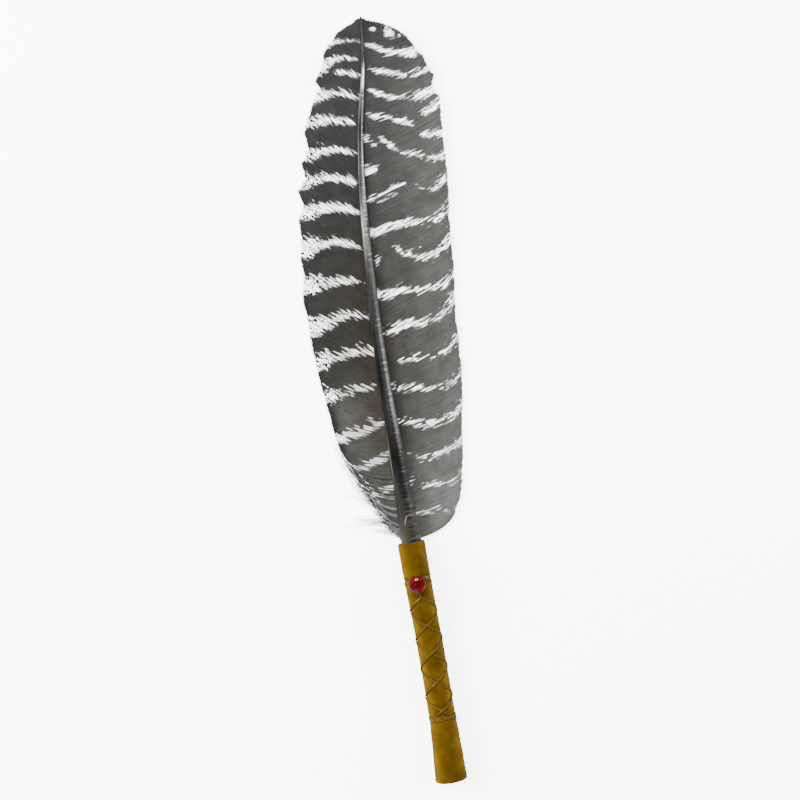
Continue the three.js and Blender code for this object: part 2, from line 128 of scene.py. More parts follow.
WIDE_BARS = [
    [(17.4, 191.6, 1), (18.3, 190.9, 1.2)],
    [(22.5, 189.6, 1.9), (24.4, 189.2, 1.9)],
    [(22.7, 188.4, 1.6), (24.7, 188.2, 1.6)],
    [(26.4, 188.6, -0.3), (27.4, 187.2, -0.3)],
    [(14.6, 185.9, 0.9), (17.6, 184.6, 1.6), (20.8, 182.7, 2.9), (26.2, 181.2, 2.6), (31.6, 180.4, 3.2)],
    [(14.6, 177.2, 0.9), (17.2, 175.6, 1.6), (21.2, 174.2, 1.8), (26.2, 173, 2), (31.2, 172.4, 2),
     (36.2, 173.4, 1.6)],
    [(13.2, 169.2, 1), (16.1, 167.4, 2.6), (19.1, 165.7, 1.8), (26.1, 164.6, 1.4), (31.1, 164.4, 2.6),
     (36.6, 165.6, 2.6)],
    [(10.6, 160.7, 1), (13.1, 159.6, 1.4), (18.1, 158.4, 1.3), (22.1, 156.4, 1.1), (26.5, 153.8, 0.7)],
    [(31.9, 157.6, 0.9), (35.1, 158.4, 1.3), (38.4, 160, 1.8)],
    [(8.3, 152.2, 1.3), (8.6, 150.6, 1), (11.4, 149, 0.7)],
    [(14.4, 150.6, 1), (16, 149.6, 0.8), (17.6, 147.3, 1.6), (19.4, 146, 0.9)],
    [(20.6, 144.3, 0.9), (24, 143.6, 0.7), (29, 141.6, 1.4), (33, 140.4, 1.8), (37.2, 140.8, 1.9)],
    [(30.2, 149.6, 1.6), (34.2, 148.9, 1.6), (37.8, 149.4, 2.6)],
    [(7.4, 140, 3.6), (9, 140.1, 3.2)],
    [(5.8, 128.7, 1.8), (8.9, 129.6, 1.8), (12.2, 130.6, 1), (16.2, 132.3, 0.9), (19.6, 132.6, 1.1)],
    [(9.2, 127.7, 0.5), (13.2, 128.8, 0.6), (16.6, 130, 0.4)],
    [(24.8, 131, 0.5), (27.4, 129.3, 1), (31, 129.3, 1.3), (35.9, 132.8, 1.7)],
    [(4.9, 116.8, 2.6), (8.8, 117, 2.6), (12.8, 118, 2.2), (18.8, 118.4, 1.8), (24, 117.2, 1.4),
     (29, 117.4, 1.6), (32, 118.8, 1.8), (35.6, 121.6, 2.2)],
    [(4.5, 104.6, 0.7), (5.6, 106.9, 0.7)],
    [(13.2, 109.4, 0.9), (14.8, 107.6, 1.1), (18.8, 105.4, 0.9), (22.7, 104.5, 1.7), (27.7, 105, 1.4),
     (30.8, 106.6, 1.6), (34.3, 110.2, 2.2)],
    [(3.6, 93.3, 2.9), (8.6, 92.9, 2.9), (12.6, 93.7, 1.8), (16.6, 92.9, 1.4), (22.6, 92.6, 1.8),
     (28.6, 93, 1.6), (31.6, 94.6, 1.5), (33.4, 97.4, 1.8)],
    [(3.6, 79, 1.8), (8.6, 80.2, 2.6), (13.6, 80.7, 2), (18.6, 80, 1.5), (23.6, 80.8, 1.6),
     (27.6, 83.2, 1.9), (31.3, 88.5, 1.8)],
    [(8, 67.3, 0.7), (8.3, 67.2, 0.7)],
    [(10.1, 66.9, 0.9), (13.5, 67.1, 1.7), (16.8, 67.3, 0.9)],
    [(18.5, 66.9, 1), (22.5, 67.6, 1.2), (26.5, 69.1, 1.4), (29.9, 73, 2.2)],
    [(3.4, 58, 1.8), (5.4, 56.4, 1.7), (10.4, 56.8, 2.2), (15.4, 55.4, 1.6), (20.4, 55.4, 1.2),
     (25.2, 56, 1.2), (29.6, 59.6, 1.8)],
    [(3.2, 44.8, 1.6), (7.3, 44.5, 2.1), (11.3, 42.6, 2.3), (14.3, 42.5, 1.9), (19.3, 42.8, 1.4),
     (24.3, 44.6, 1.6), (28.2, 48.4, 2)],
    [(3.3, 33, 0.8), (4.6, 33.1, 0.7)],
    [(8.2, 30.7, 1.1), (12.2, 30.5, 1.7), (16.2, 31, 1.4), (21.2, 32.2, 1), (26, 35.4, 1.6)],
    [(3.4, 22, 1.1), (4.8, 23.2, 1)],
    [(7.2, 19.5, 1.1), (12.2, 19.7, 1.8), (17.2, 19.2, 1.5), (21.2, 20.6, 1.5), (24.6, 23.6, 1.6)],
    [(3.6, 10.4, 1.4), (8.1, 9.9, 1.1), (14, 10.6, 0.5)],
    [(13.8, 8.6, 0.6), (17, 8.9, 1), (19.4, 10.6, 0.7)],
]

SHAFT_LENGTH = 194.5

# Shades along the shaft: [y, left edge, left, centre, right, right edge]. They are the horn's own pigment
# together with painted shade in the groove and painted highlights along its ridges.
SHAFT_SHADES = [
    (0, 0.029, 0.020, 0.013, 0.016, 0.035), (5, 0.017, 0.012, 0.011, 0.013, 0.024),
    (9, 0.007, 0.010, 0.011, 0.017, 0.022), (14, 0.006, 0.008, 0.009, 0.016, 0.019),
    (22, 0.008, 0.008, 0.004, 0.010, 0.015), (32, 0.009, 0.001, 0.002, 0.012, 0.019),
    (41, 0.008, 0.004, 0.008, 0.037, 0.019), (50, 0.004, 0.004, 0.014, 0.068, 0.022),
    (62, 0.004, 0.001, 0.009, 0.047, 0.019), (80, 0.008, 0.004, 0.010, 0.041, 0.021),
    (90, 0.009, 0.010, 0.010, 0.024, 0.020), (100, 0.007, 0.008, 0.016, 0.032, 0.019),
    (106, 0.011, 0.022, 0.022, 0.032, 0.019), (112, 0.033, 0.064, 0.052, 0.034, 0.023),
    (120, 0.048, 0.162, 0.081, 0.021, 0.020), (128, 0.035, 0.035, 0.070, 0.076, 0.022),
    (135, 0.045, 0.017, 0.033, 0.109, 0.020), (143, 0.141, 0.022, 0.023, 0.141, 0.029),
    (156, 0.071, 0.008, 0.003, 0.061, 0.033), (164, 0.077, 0.036, 0.022, 0.072, 0.056),
    (169, 0.038, 0.061, 0.045, 0.066, 0.056), (172, 0.012, 0.072, 0.444, 0.499, 0.334),
    (176, 0.025, 0.047, 0.167, 0.499, 0.277), (180, 0.011, 0.010, 0.010, 0.022, 0.026),
    (186, 0.020, 0.020, 0.021, 0.024, 0.024), (194.5, 0.016, 0.016, 0.016, 0.016, 0.016),
]

# Where across the shaft, from -1 to 1, each column of shades passes into the next.
SHADE_JOINS = ((-0.95, -0.78), (-0.45, -0.15), (0.18, 0.46), (0.74, 0.92))

# Tint of the horn, by its share of the shaft's length.
HORN_TINTS = [
    (0.0, (0.96, 1.03, 0.92)), (0.05, (1.06, 1.0, 0.9)), (0.13, (1.02, 0.98, 1.0)), (0.24, (1, 1, 1)),
]

# [y at the shaft, tip x, tip y, degrees at which it leaves]
DOWN_LOCKS = [
    (3.5, -16.5, 7.5, 4), (6, -23.5, 13.4, 6), (8.5, -28, 10, 4),
    (12, -24.5, 42.5, -4), (14, -25, 45, -6), (15, -25.5, 22.3, 2), (18, -20.8, 29.5, 4),
]

# Each vane: its side, outline, barbs and bars; its shade and the raggedness of its bars by y; how much
# it darkens beside the shaft and how brown it is there; how ragged a bar is below and above, and how
# dotted at the margin. Then by y, near the shaft, halfway out and near the margin: how much a bar
# shrinks, how white it is and how torn.
WIDE_VANE = {
    "side": 1, "margin": WIDE_MARGIN, "sweep": WIDE_SWEEP, "bars": WIDE_BARS,
    # The wide vane's shades are partly its own grey and partly painted sheen and painted light showing
    # through it.
    "tones": [
        (0, 0.0645), (6, 0.0533), (14, 0.0561), (25, 0.0417), (40, 0.0258), (60, 0.0246), (100, 0.0226),
        (125, 0.0226), (140, 0.0243), (155, 0.0243), (170, 0.0248), (180, 0.0232), (188, 0.0197),
        (195, 0.0166)],
    "fray": [(0, 0.9), (60, 1.0), (105, 1.0), (125, 0.85), (150, 0.68), (180, 0.45), (195, 0.3)],
    "rim_shade": 0.31, "warm": 0.35, "ragged": (0.8, 1.1), "speckle": 0.15,
    "shrink": [
        (25, 0.2, 0.2, 0.35), (60, 0.2, 0.15, 0.25), (80, -0.1, 0.1, 0.25), (110, -0.1, 0.1, -0.05),
        (130, 0, 0, -0.35), (190, 0.1, 0, -0.25)],
    "white": [
        (25, 0.6, 0.45, 0.42), (60, 0.9, 0.65, 0.65), (80, 1, 0.8, 0.75), (110, 1, 0.85, 1),
        (130, 1, 0.9, 1), (190, 1, 1, 1)],
    "torn": [(25, 0.9, 1, 1), (60, 0.9, 1, 1), (80, 0.6, 1, 1), (110, 0.6, 1, 0.9), (130, 0.6, 1, 0.9),
             (190, 0.7, 1, 1)],
}
NARROW_VANE = {
    "side": -1, "margin": NARROW_MARGIN, "sweep": NARROW_SWEEP, "bars": NARROW_BARS,
    "tones": [
        (0, 0.0415), (8, 0.0442), (14, 0.0387), (25, 0.0244), (37, 0.0208), (51, 0.0177), (65, 0.0125),
        (80, 0.0113), (106, 0.0113), (140, 0.0125), (170, 0.0143), (185, 0.0143), (195, 0.0154)],
    "fray": [(0, 0.9), (60, 1.15), (100, 1.05), (150, 0.8), (195, 0.6)],
    "rim_shade": 0.12, "warm": 0.8, "ragged": (0.55, 1.1), "speckle": 1.0,
    "shrink": [
        (25, 0.3, 0.2, 0), (55, 0.4, 0.35, -0.1), (100, 0.3, 0.4, -0.35), (130, 0.3, 0.2, -0.35),
        (190, 0.1, 0, -0.35)],
    "white": [
        (25, 0.32, 0.32, 0.45), (55, 0.36, 0.4, 1), (100, 0.6, 0.6, 1), (130, 0.9, 0.9, 1), (190, 1, 1, 1)],
    "torn": [
        (25, 1, 1, 1), (55, 0.9, 1, 1), (100, 0.8, 0.9, 0.8), (130, 0.7, 0.9, 0.8), (190, 0.7, 0.9, 0.9)],
}

# [y, centre x, radius]
LEATHER = np.array([
    (0, -0.05, 4.75), (-0.9, -0.05, 5.0), (-8, -0.05, 4.95), (-16, 0, 4.9), (-22, 0.1, 4.8),
    (-30, 0.35, 4.7), (-40, 0.5, 4.75), (-50, 0.55, 4.75), (-60, 0.5, 4.8), (-65.5, 0.55, 4.75),
    (-70, 0.5, 5.0), (-76, 0.35, 5.25), (-83, 0.15, 5.55), (-89.1, -0.05, 5.85), (-90, -0.05, 5.6),
])

# The radius of the handle before the sheet's lap, how far its middle line stands aside, and its ends.
ROLL_RADIUS = 5.0
HANDLE_ASIDE = 0.1
BUTT_Y = -90
BORE_END = -62.5

# Where the lacing first crosses, the place of its band and how far one strand lies over another.
FIRST_CROSSING = -20.4
BAND_Y = -65.6
OVERLAP = 0.16

# The camera looks straight down at a point of the drawing frame, turned about its own axis.
CAMERA_HEIGHT = 600
CAMERA_TURN = math.radians(-9.68)
CAMERA_AIM = (4.68, 52.93, AXIS_HEIGHT)
VIEW_WIDTH = 298.4

# [name, place in metres, size, power, gloss only]
LAMPS = [
    ("left", (-0.7, 0.28, 0.6), 0.85, 62.0, False), ("right", (0.72, 0.25, 0.5), 0.75, 29.0, False),
    ("left_glint", (-0.66, 0.45, 0.1), 0.16, 3.0, True), ("right_glint", (0.56, 0.56, 0.12), 0.16, 3.0, True),
]
RING_LAMPS = 12


class FeatherSizes(bpy.types.PropertyGroup):
    """Sizes and colours of the feather itself."""

    barb_spacing: bpy.props.FloatProperty(
        name="Barb spacing", description="Distance between barbs along the shaft",
        default=0.46 * MM, unit="LENGTH")
    barb_steps: bpy.props.IntProperty(
        name="Barb steps", description="Lengthwise steps of one barb", default=52)
    barb_height: bpy.props.FloatProperty(
        name="Barb height", description="Height of a barb's crest over its web",
        default=0.12 * MM, unit="LENGTH")
    fray: bpy.props.FloatProperty(
        name="Fray", description="How raggedly the white bars end along the barbs",
        default=1.0 * MM, unit="LENGTH")
    white: bpy.props.FloatVectorProperty(
        name="White bars", description="Colour of the white bars",
        default=(0.98, 0.98, 0.97), subtype="COLOR")
    charcoal: bpy.props.FloatVectorProperty(
        name="Charcoal", description="Tint of the dark bars",
        default=(0.96, 1.0, 0.93), subtype="COLOR")
    brown: bpy.props.FloatVectorProperty(
        name="Brown", description="Tint of the dark bars beside the shaft",
        default=(1.32, 1.0, 0.66), max=2.0, subtype="COLOR")


class HandleSizes(bpy.types.PropertyGroup):
    """Sizes and colours of the handle, its lacing and its bead."""

    sheet_step: bpy.props.FloatProperty(
        name="Sheet step", description="Height of the leather's free edge",
        default=0.7 * MM, unit="LENGTH")
    seam_angle: bpy.props.FloatProperty(
        name="Seam angle", description="Place of the free edge round the handle",
        default=math.radians(215), subtype="ANGLE")
    lace_pitch: bpy.props.FloatProperty(
        name="Lace pitch", description="One turn of a strand along the handle",
        default=21.4 * MM, unit="LENGTH")
    lace_width: bpy.props.FloatProperty(
        name="Lace width", description="Width of the flat sinew", default=0.85 * MM, unit="LENGTH")
    lace_thickness: bpy.props.FloatProperty(
        name="Lace thickness", description="Thickness of the flat sinew",
        default=0.28 * MM, unit="LENGTH")
    press_depth: bpy.props.FloatProperty(
        name="Press depth", description="How deep the lacing presses into the leather",
        default=0.2 * MM, unit="LENGTH")
    bead_radius: bpy.props.FloatProperty(
        name="Bead radius", description="Outer radius of the bead", default=3.2 * MM, unit="LENGTH")
    leather: bpy.props.FloatVectorProperty(
        name="Leather", description="Colour of the leather",
        default=(0.0284, 0.0149, 0.0006), subtype="COLOR")
    sinew: bpy.props.FloatVectorProperty(
        name="Sinew", description="Colour of the sinew",
        default=(0.037, 0.0212, 0.0034), subtype="COLOR")
    glass: bpy.props.FloatVectorProperty(
        name="Glass", description="Colour of the bead",
        default=(0.0265, 0.0002, 0.0002), subtype="COLOR")


# Shapes shared by several pieces

def smooth_track(table, column, softness=2.5):
    """Reads a column of a table along y, rounded over a few millimetres."""
    rows = table[np.argsort(table[:, 0])]
    dense = np.arange(rows[0, 0], rows[-1, 0] + 0.25, 0.25)
    values = np.interp(dense, rows[:, 0], rows[:, column])
    reach = int(softness * 3 / 0.25)
    kernel = np.exp(-0.5 * (np.arange(-reach, reach + 1) * 0.25 / softness) ** 2)
    padded = np.concatenate([
        2 * values[0] - values[reach:0:-1], values, 2 * values[-1] - values[-2:-reach - 2:-1]])
    rounded = np.convolve(padded, kernel / kernel.sum(), mode="valid")
    return lambda y: np.interp(y, dense, rounded)


shaft_x = smooth_track(SHAFT, 1)
shaft_width = smooth_track(SHAFT, 2, 1.2)
shaft_height = smooth_track(SHAFT, 3, 1.2)
shaft_under = smooth_track(SHAFT, 4)
shaft_groove = smooth_track(SHAFT, 5)
handle_x = smooth_track(LEATHER, 1, 3.0)
handle_radius = smooth_track(LEATHER[1:-1], 2, 3.0)


def smoothstep(low, high, value):
    t = np.clip((value - low) / (high - low), 0, 1)
    return t * t * (3 - 2 * t)


def unit(vectors):
    return vectors / np.linalg.norm(vectors, axis=-1, keepdims=True)


def from_shaft(x, y):
    """How far a place is from the shaft's middle line, and how far beyond its side."""
    on_shaft = np.clip(y, 0, SHAFT_LENGTH)
    out = np.abs(x - shaft_x(on_shaft))
    return out, np.maximum(out - shaft_width(on_shaft) / 2, 0)


def vane_underside(x, y):
    """Attached low on the shaft's sides, resting a little way out, rising to the margins."""
    out, beyond = from_shaft(x, y)
    on_shaft = np.clip(y, 0, SHAFT_LENGTH)
    rise = 0.17 * shaft_height(on_shaft) * np.exp(-((beyond / 1.8) ** 2))
    droop = 0.45 * (1 - np.exp(-((out / 8) ** 2)))
    curl = 3.4 * (np.maximum(out - 15, 0) / 23) ** 2
    return shaft_under(on_shaft) + rise - droop + curl


def barb_paths(margin, sweep, root_y, steps):
    """Points of every barb, from the shaft to the margin, as an array [barb, step, xy]."""
    tip = np.stack([np.interp(root_y, margin[:, 0], margin[:, k]) for k in (1, 2)], axis=1)
    side = 1 if margin[10, 1] > 0 else -1
    root = np.stack([shaft_x(root_y) + side * 0.36 * shaft_width(root_y), root_y], axis=1)
    return bend(root, tip, side, *(
        np.radians(np.interp(root_y, sweep[:, 0], sweep[:, k])) for k in (1, 2)), steps)


def bend(root, tip, side, leave, arrive, steps):
    """Curves from roots to tips that leave and arrive at given angles above the crosswise direction."""
    length = np.linalg.norm(tip - root, axis=1)[:, None]
    out = np.stack([side * np.cos(leave), np.sin(leave)], axis=1)
    end = np.stack([side * np.cos(arrive), np.sin(arrive)], axis=1)
    first = root + out * length * 0.42
    second = tip - end * length * 0.26
    t = np.linspace(0, 1, steps + 1)[None, :, None]
    return (root[:, None] * (1 - t) ** 3 + 3 * first[:, None] * t * (1 - t) ** 2
            + 3 * second[:, None] * t ** 2 * (1 - t) + tip[:, None] * t ** 3)


def distance_and_side(points, lines):
    """The least distance to any line of (x, y, thickness), and how far a point is above that line."""
    nearest = np.full(len(points), 1e9)
    above = np.zeros(len(points))
    for line in lines:
        line = np.array(line, float)
        for start, end in zip(line[:-1], line[1:]):
            along = end[:2] - start[:2]
            t = np.clip(((points - start[:2]) @ along) / (along @ along), 0, 1)
            away = points - start[:2] - t[:, None] * along
            gap = np.linalg.norm(away, axis=1) - (start[2] + t * (end[2] - start[2])) / 2
            above = np.where(gap < nearest, away[:, 1], above)
            nearest = np.minimum(nearest, gap)
    return nearest, above


def rings_about(path, across, out, sides, flatness=1.0):
    """Rings about each point of a path, from its half widths as vectors across and outwards."""
    turn = 2 * math.pi * np.arange(sides) / sides
    reach = np.sign(np.cos(turn)) * np.abs(np.cos(turn)) ** flatness
    return (path[..., None, :] + reach[:, None] * across[..., None, :]
            + np.sin(turn)[:, None] * out[..., None, :])


def mesh_from_rings(name, rings):
    """Joins closed tubes, an array [tube, ring, point, xyz] in millimetres, into one mesh in metres."""
    tubes, count, sides, _ = rings.shape
    mesh = bpy.data.meshes.new(name)
    vertices = (rings.reshape(-1, 3) + SHIFT) * MM
    index = np.arange(tubes * count * sides).reshape(tubes, count, sides)
    low, high = index[:, :-1], index[:, 1:]
    quads = np.stack([low, np.roll(low, -1, axis=2), np.roll(high, -1, axis=2), high], axis=-1).reshape(-1, 4)
    caps = np.concatenate([index[:, 0, ::-1], index[:, -1]])
    corners = np.concatenate([quads.reshape(-1), caps.reshape(-1)])
    totals = np.repeat([4, sides], [len(quads), len(caps)])
    mesh.vertices.add(len(vertices))
    mesh.vertices.foreach_set("co", vertices.reshape(-1).astype(np.float32))
    mesh.loops.add(len(corners))
    mesh.loops.foreach_set("vertex_index", corners.astype(np.int32))
    mesh.polygons.add(len(totals))
    mesh.polygons.foreach_set("loop_start", (np.cumsum(totals) - totals).astype(np.int32))
    mesh.polygons.foreach_set("loop_total", totals.astype(np.int32))
    mesh.polygons.foreach_set("use_smooth", np.ones(len(totals), bool))
    mesh.update(calc_edges=True)
    mesh.validate()
    return mesh


def to_frame(x, y, z):
    """A place in the drawing frame, in millimetres, as a place in metres."""
    return Vector((np.array((x, y, z)) + SHIFT) * MM)


def deselect_all():
    bpy.ops.object.select_all(action="DESELECT")


def draw_out(name, stations, sides):
    """Draws a tube from a circle, extruding it to each station (x, y, z, width, height) in turn."""
    deselect_all()
    start = to_frame(*stations[0][:3])
    bpy.ops.mesh.primitive_circle_add(
        vertices=sides, radius=MM / 2, fill_type="NGON", location=start, rotation=(math.pi / 2, 0, 0))
    piece = bpy.context.object
    piece.name = piece.data.name = name
    bpy.ops.object.mode_set(mode="EDIT")
    bpy.ops.transform.resize(value=(stations[0][3], 1, stations[0][4]), center_override=start)
    for before, after in zip(stations, stations[1:]):
        place = to_frame(*after[:3])
        bpy.ops.mesh.extrude_region_move(
            TRANSFORM_OT_translate={"value": place - to_frame(*before[:3])})
        growth = (after[3] / before[3], 1, after[4] / before[4])
        bpy.ops.transform.resize(value=growth, center_override=place)
    bpy.ops.mesh.select_all(action="SELECT")
    bpy.ops.mesh.normals_make_consistent(inside=False)
    bpy.ops.object.mode_set(mode="OBJECT")
    bpy.ops.object.transform_apply(location=True, rotation=True, scale=True)
    return piece


def refine(piece, kind, levels):
    finer = piece.modifiers.new("Finer", "SUBSURF")
    finer.subdivision_type = kind
    finer.levels = finer.render_levels = levels
    bpy.ops.object.modifier_apply(modifier=finer.name)


def places_of(mesh):
    """Every vertex's place in the drawing frame, in millimetres."""
    flat = np.empty(len(mesh.vertices) * 3, np.float32)
    mesh.vertices.foreach_get("co", flat)
    return flat.reshape(-1, 3).astype(float) / MM - SHIFT


def reshape(mesh, places):
    mesh.vertices.foreach_set("co", ((places + SHIFT) * MM).reshape(-1).astype(np.float32))
    mesh.update()


def set_attributes(mesh, **attributes):
    for name, values in attributes.items():
        attribute = mesh.attributes.new(name, "FLOAT", "POINT")
        attribute.data.foreach_set("value", np.asarray(values, np.float32).reshape(-1))


def set_uv(mesh, along, across, shape):
    """Lays a UV map from values that are spread over an array of points."""
    layer = mesh.uv_layers.get("UVMap") or mesh.uv_layers.new(name="UVMap")
    loops = np.empty(len(mesh.loops), np.int32)
    mesh.loops.foreach_get("vertex_index", loops)
    uv = np.stack([np.broadcast_to(part, shape).reshape(-1)[loops] for part in (along, across)], axis=1)
    layer.data.foreach_set("uv", uv.reshape(-1).astype(np.float32))


def finish_piece(piece, material, node):
    """Gives a piece its finish, puts it under the root body and hides the node it stands for."""
    piece.data.materials.clear()
    piece.data.materials.append(material)
    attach(piece, "root")
    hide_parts(node)


def point_outwards(mesh):
    work = bmesh.new()
    work.from_mesh(mesh)
    bmesh.ops.recalc_face_normals(work, faces=work.faces)
    work.to_mesh(mesh)
    work.free()


def finished(name, mesh, material, node):
    """Puts a mesh made from arrays in the scene as the piece that stands for a node."""
    piece = bpy.data.objects.new(name, mesh)
    bpy.context.collection.objects.link(piece)
    finish_piece(piece, material, node)


# Finishes

class Finish:
    """A material and short ways to add and link its nodes."""

    def __init__(self, name):
        self.material = bpy.data.materials.new(name)
        self.material.use_nodes = True
        self.tree = self.material.node_tree
        self.shader = self.tree.nodes["Principled BSDF"]

    def set(self, **values):
        for key, value in values.items():
            self.shader.inputs[key.replace("_", " ")].default_value = value

    def put(self, value, socket):
        if isinstance(value, bpy.types.NodeSocket):
            self.tree.links.new(value, socket)
        else:
            socket.default_value = value

    def node(self, kind, **settings):
        made = self.tree.nodes.new(kind)
        for key, value in settings.items():
            setattr(made, key, value)
        return made

    def attribute(self, name):
        return self.node("ShaderNodeAttribute", attribute_name=name).outputs["Fac"]

    def math(self, operation, value, *others):
        """Works through two or more values in turn with one operation."""
        for other in others:
            made = self.node("ShaderNodeMath", operation=operation)
            self.put(value, made.inputs[0])
            self.put(other, made.inputs[1])
            value = made.outputs[0]
        return value

    def swing(self, value, amount):
        """A noise made to swing about zero."""
        return self.math("MULTIPLY", self.math("SUBTRACT", value, 0.5), amount)

    def ramp(self, factor, stops):
        made = self.node("ShaderNodeValToRGB")
        elements = made.color_ramp.elements
        for k, (place, colour) in enumerate(stops):
            element = elements[k] if k < 2 else elements.new(place)
            element.position = place
            element.color = (*colour, 1) if len(colour) == 3 else colour
        self.put(factor, made.inputs[0])
        return made.outputs[0]

    def range(self, value, low, high, to_low=0.0, to_high=1.0, soft=True):
        made = self.node("ShaderNodeMapRange", interpolation_type="SMOOTHSTEP" if soft else "LINEAR")
        for key, item in zip(("Value", "From Min", "From Max", "To Min", "To Max"),
                             (value, low, high, to_low, to_high)):
            self.put(item, made.inputs[key])
        return made.outputs[0]

    def mix(self, factor, first, second, blend="MIX"):
        made = self.node("ShaderNodeMix", data_type="RGBA", blend_type=blend)
        self.put(factor, made.inputs[0])
        for item, socket in ((first, made.inputs[6]), (second, made.inputs[7])):
            self.put((*item, 1) if isinstance(item, tuple) and len(item) == 3 else item, socket)
        return made.outputs[2]

    def scaled(self, colour, *factors):
        """A colour times one factor, or times a factor for each channel."""
        return self.mix(1.0, colour, factors * 3 if len(factors) == 1 else factors, "MULTIPLY")

    def place(self, source="Object", scale=(1, 1, 1)):
        coordinates = self.node("ShaderNodeTexCoord")
        mapping = self.node("ShaderNodeMapping")
        mapping.inputs["Scale"].default_value = scale
        self.put(coordinates.outputs[source], mapping.inputs["Vector"])
        return mapping.outputs["Vector"]

    def noise(self, vector, scale, detail=2.0, roughness=0.5):
        made = self.node("ShaderNodeTexNoise")
        self.put(vector, made.inputs["Vector"])
        made.inputs["Scale"].default_value = scale
        made.inputs["Detail"].default_value = detail
        made.inputs["Roughness"].default_value = roughness
        return made.outputs["Fac"]

    def uv_noise(self, along, across, detail=1.0, roughness=0.5):
        """Noise on the UV map, finer or coarser along a piece than across it."""
        return self.noise(self.place("UV", (along, across, 1)), 1.0, detail, roughness)

    def bump(self, height, distance, strength=1.0):
        made = self.node("ShaderNodeBump")
        made.inputs["Distance"].default_value = distance
        made.inputs["Strength"].default_value = strength
        self.put(height, made.inputs["Height"])
        self.put(made.outputs["Normal"], self.shader.inputs["Normal"])

    def colour(self, value):
        self.put(value, self.shader.inputs["Base Color"])


def shade_of(colour, *factors):
    """A fixed colour times a factor for each channel."""
    return tuple(part * factor for part, factor in zip(colour, factors))


def barb_finish(sizes):
    """Barred vane: white and dark pigment that ends raggedly along the barbs."""
    finish = Finish("Barred vane")
    streaks = finish.uv_noise(0.24, 0.9)
    threads = finish.uv_noise(0.3, 2.1)
    gaps = finish.uv_noise(0.2, 0.75)
    specks = finish.math("MAXIMUM", finish.uv_noise(0.7, 0.6, 2.0), finish.uv_noise(1.5, 0.95))
    cloud = finish.noise(finish.place(), 160, 3.0)
    grain = finish.noise(finish.place(), 3200, 2.0)

    ragged = finish.math(
        "ADD", finish.swing(streaks, 4.6), finish.swing(threads, 3.6), finish.range(gaps, 0.51, 0.64, 0, 3.6))
    ragged = finish.math("MULTIPLY", ragged, finish.attribute("fray"))
    speckled = finish.math("MULTIPLY", finish.range(specks, 0.55, 0.67, 0, 5.2), finish.attribute("speckle"))
    white = finish.range(
        finish.math("ADD", finish.attribute("bar"), ragged, speckled), 0.8, -0.5, soft=False)
    white = finish.math("MULTIPLY", finish.math("POWER", white, 2.0), finish.attribute("bright"))

    tint = finish.mix(finish.attribute("warm"), tuple(sizes.charcoal), tuple(sizes.brown))
    tone = finish.math(
        "MULTIPLY", finish.attribute("tone"), finish.range(streaks, 0.25, 0.75, 0.92, 1.08),
        finish.range(cloud, 0.3, 0.7, 0.86, 1.14), finish.range(grain, 0.3, 0.7, 0.9, 1.1))
    dark = finish.mix(1.0, tint, tone, "MULTIPLY")
    pale = finish.mix(
        finish.range(grain, 0.35, 0.8), tuple(sizes.white), shade_of(sizes.white, 0.93, 0.93, 0.93))
    finish.colour(finish.mix(white, dark, pale))
    finish.set(Roughness=0.65, Specular_IOR_Level=0.022)
    finish.bump(grain, 0.02 * MM, 0.4)
    return finish.material


def shaft_finish():
    """Horn shaft: five strips of grey, partly pigment and partly painted groove shade and painted ridge
    highlights, dark blots and fine ticks across, a hollow foot painted dark as painted shade, and pale lips.
    """
    finish = Finish("Horn shaft")
    along, across = finish.attribute("along"), finish.attribute("across")
    # The strips carry painted shade in the groove and painted highlights on the ridges, as well as the horn's
    # pigment.
    strips = [
        finish.ramp(along, [(row[0] / SHAFT_LENGTH, (row[k],) * 3) for row in SHAFT_SHADES])
        for k in range(1, 6)]
    shade = strips[0]
    for strip, (low, high) in zip(strips[1:], SHADE_JOINS):
        shade = finish.mix(finish.range(across, low, high), shade, strip)
    colour = finish.mix(1.0, shade, finish.ramp(along, HORN_TINTS), "MULTIPLY")

    ticks = finish.uv_noise(0.85, 0.1, 2.0, 0.6)
    reached = finish.math("ADD", across, finish.swing(finish.uv_noise(0.6, 0.0), 3.2))
    pale = finish.math(
        "MULTIPLY", finish.range(ticks, 0.55, 0.63, 0, 0.75), finish.range(reached, -0.5, 0.2),
        finish.range(across, 0.95, 0.7))
    deep = finish.math("MULTIPLY", finish.range(ticks, 0.46, 0.38, 0, 0.7), finish.range(across, -0.5, 0.1))
    blots = finish.math(
        "MULTIPLY", finish.range(finish.uv_noise(1.15, 0.2), 0.54, 0.47, 0, 0.9),
        finish.range(across, -0.3, 0.0), finish.range(across, 0.62, 0.36), finish.range(along, 0.34, 0.2))
    for amount, factor in ((blots, 0.16), (pale, 3.0), (deep, 0.4)):
        colour = finish.mix(amount, colour, finish.scaled(colour, factor))
    # Painted shade: the hollow at the foot is painted dark, with no pit in the shape.
    hollow = finish.range(finish.attribute("hollow"), 0.8, -0.7, 0, 0.9)
    colour = finish.mix(hollow, colour, (0.0115, 0.0092, 0.005))
    lip = finish.range(finish.attribute("lip"), 0.14, -0.1, 0, 0.9)
    finish.colour(finish.mix(lip, colour, (0.13, 0.13, 0.11)))
    finish.set(Roughness=0.5, Specular_IOR_Level=0.045)
    finish.bump(ticks, 0.04 * MM, 0.5)
    return finish.material


def down_finish():
    """Loose down: almost white, with grey strands."""
    finish = Finish("White down")
    streaks = finish.uv_noise(0.3, 3.0, 2.0)
    shade = finish.math("MULTIPLY", finish.attribute("shade"), finish.range(streaks, 0.3, 0.7, 0.85, 1.1))
    finish.colour(finish.mix(1.0, (0.95, 0.95, 0.94), shade, "MULTIPLY"))
    finish.set(Roughness=0.8, Specular_IOR_Level=0.1)
    return finish.material


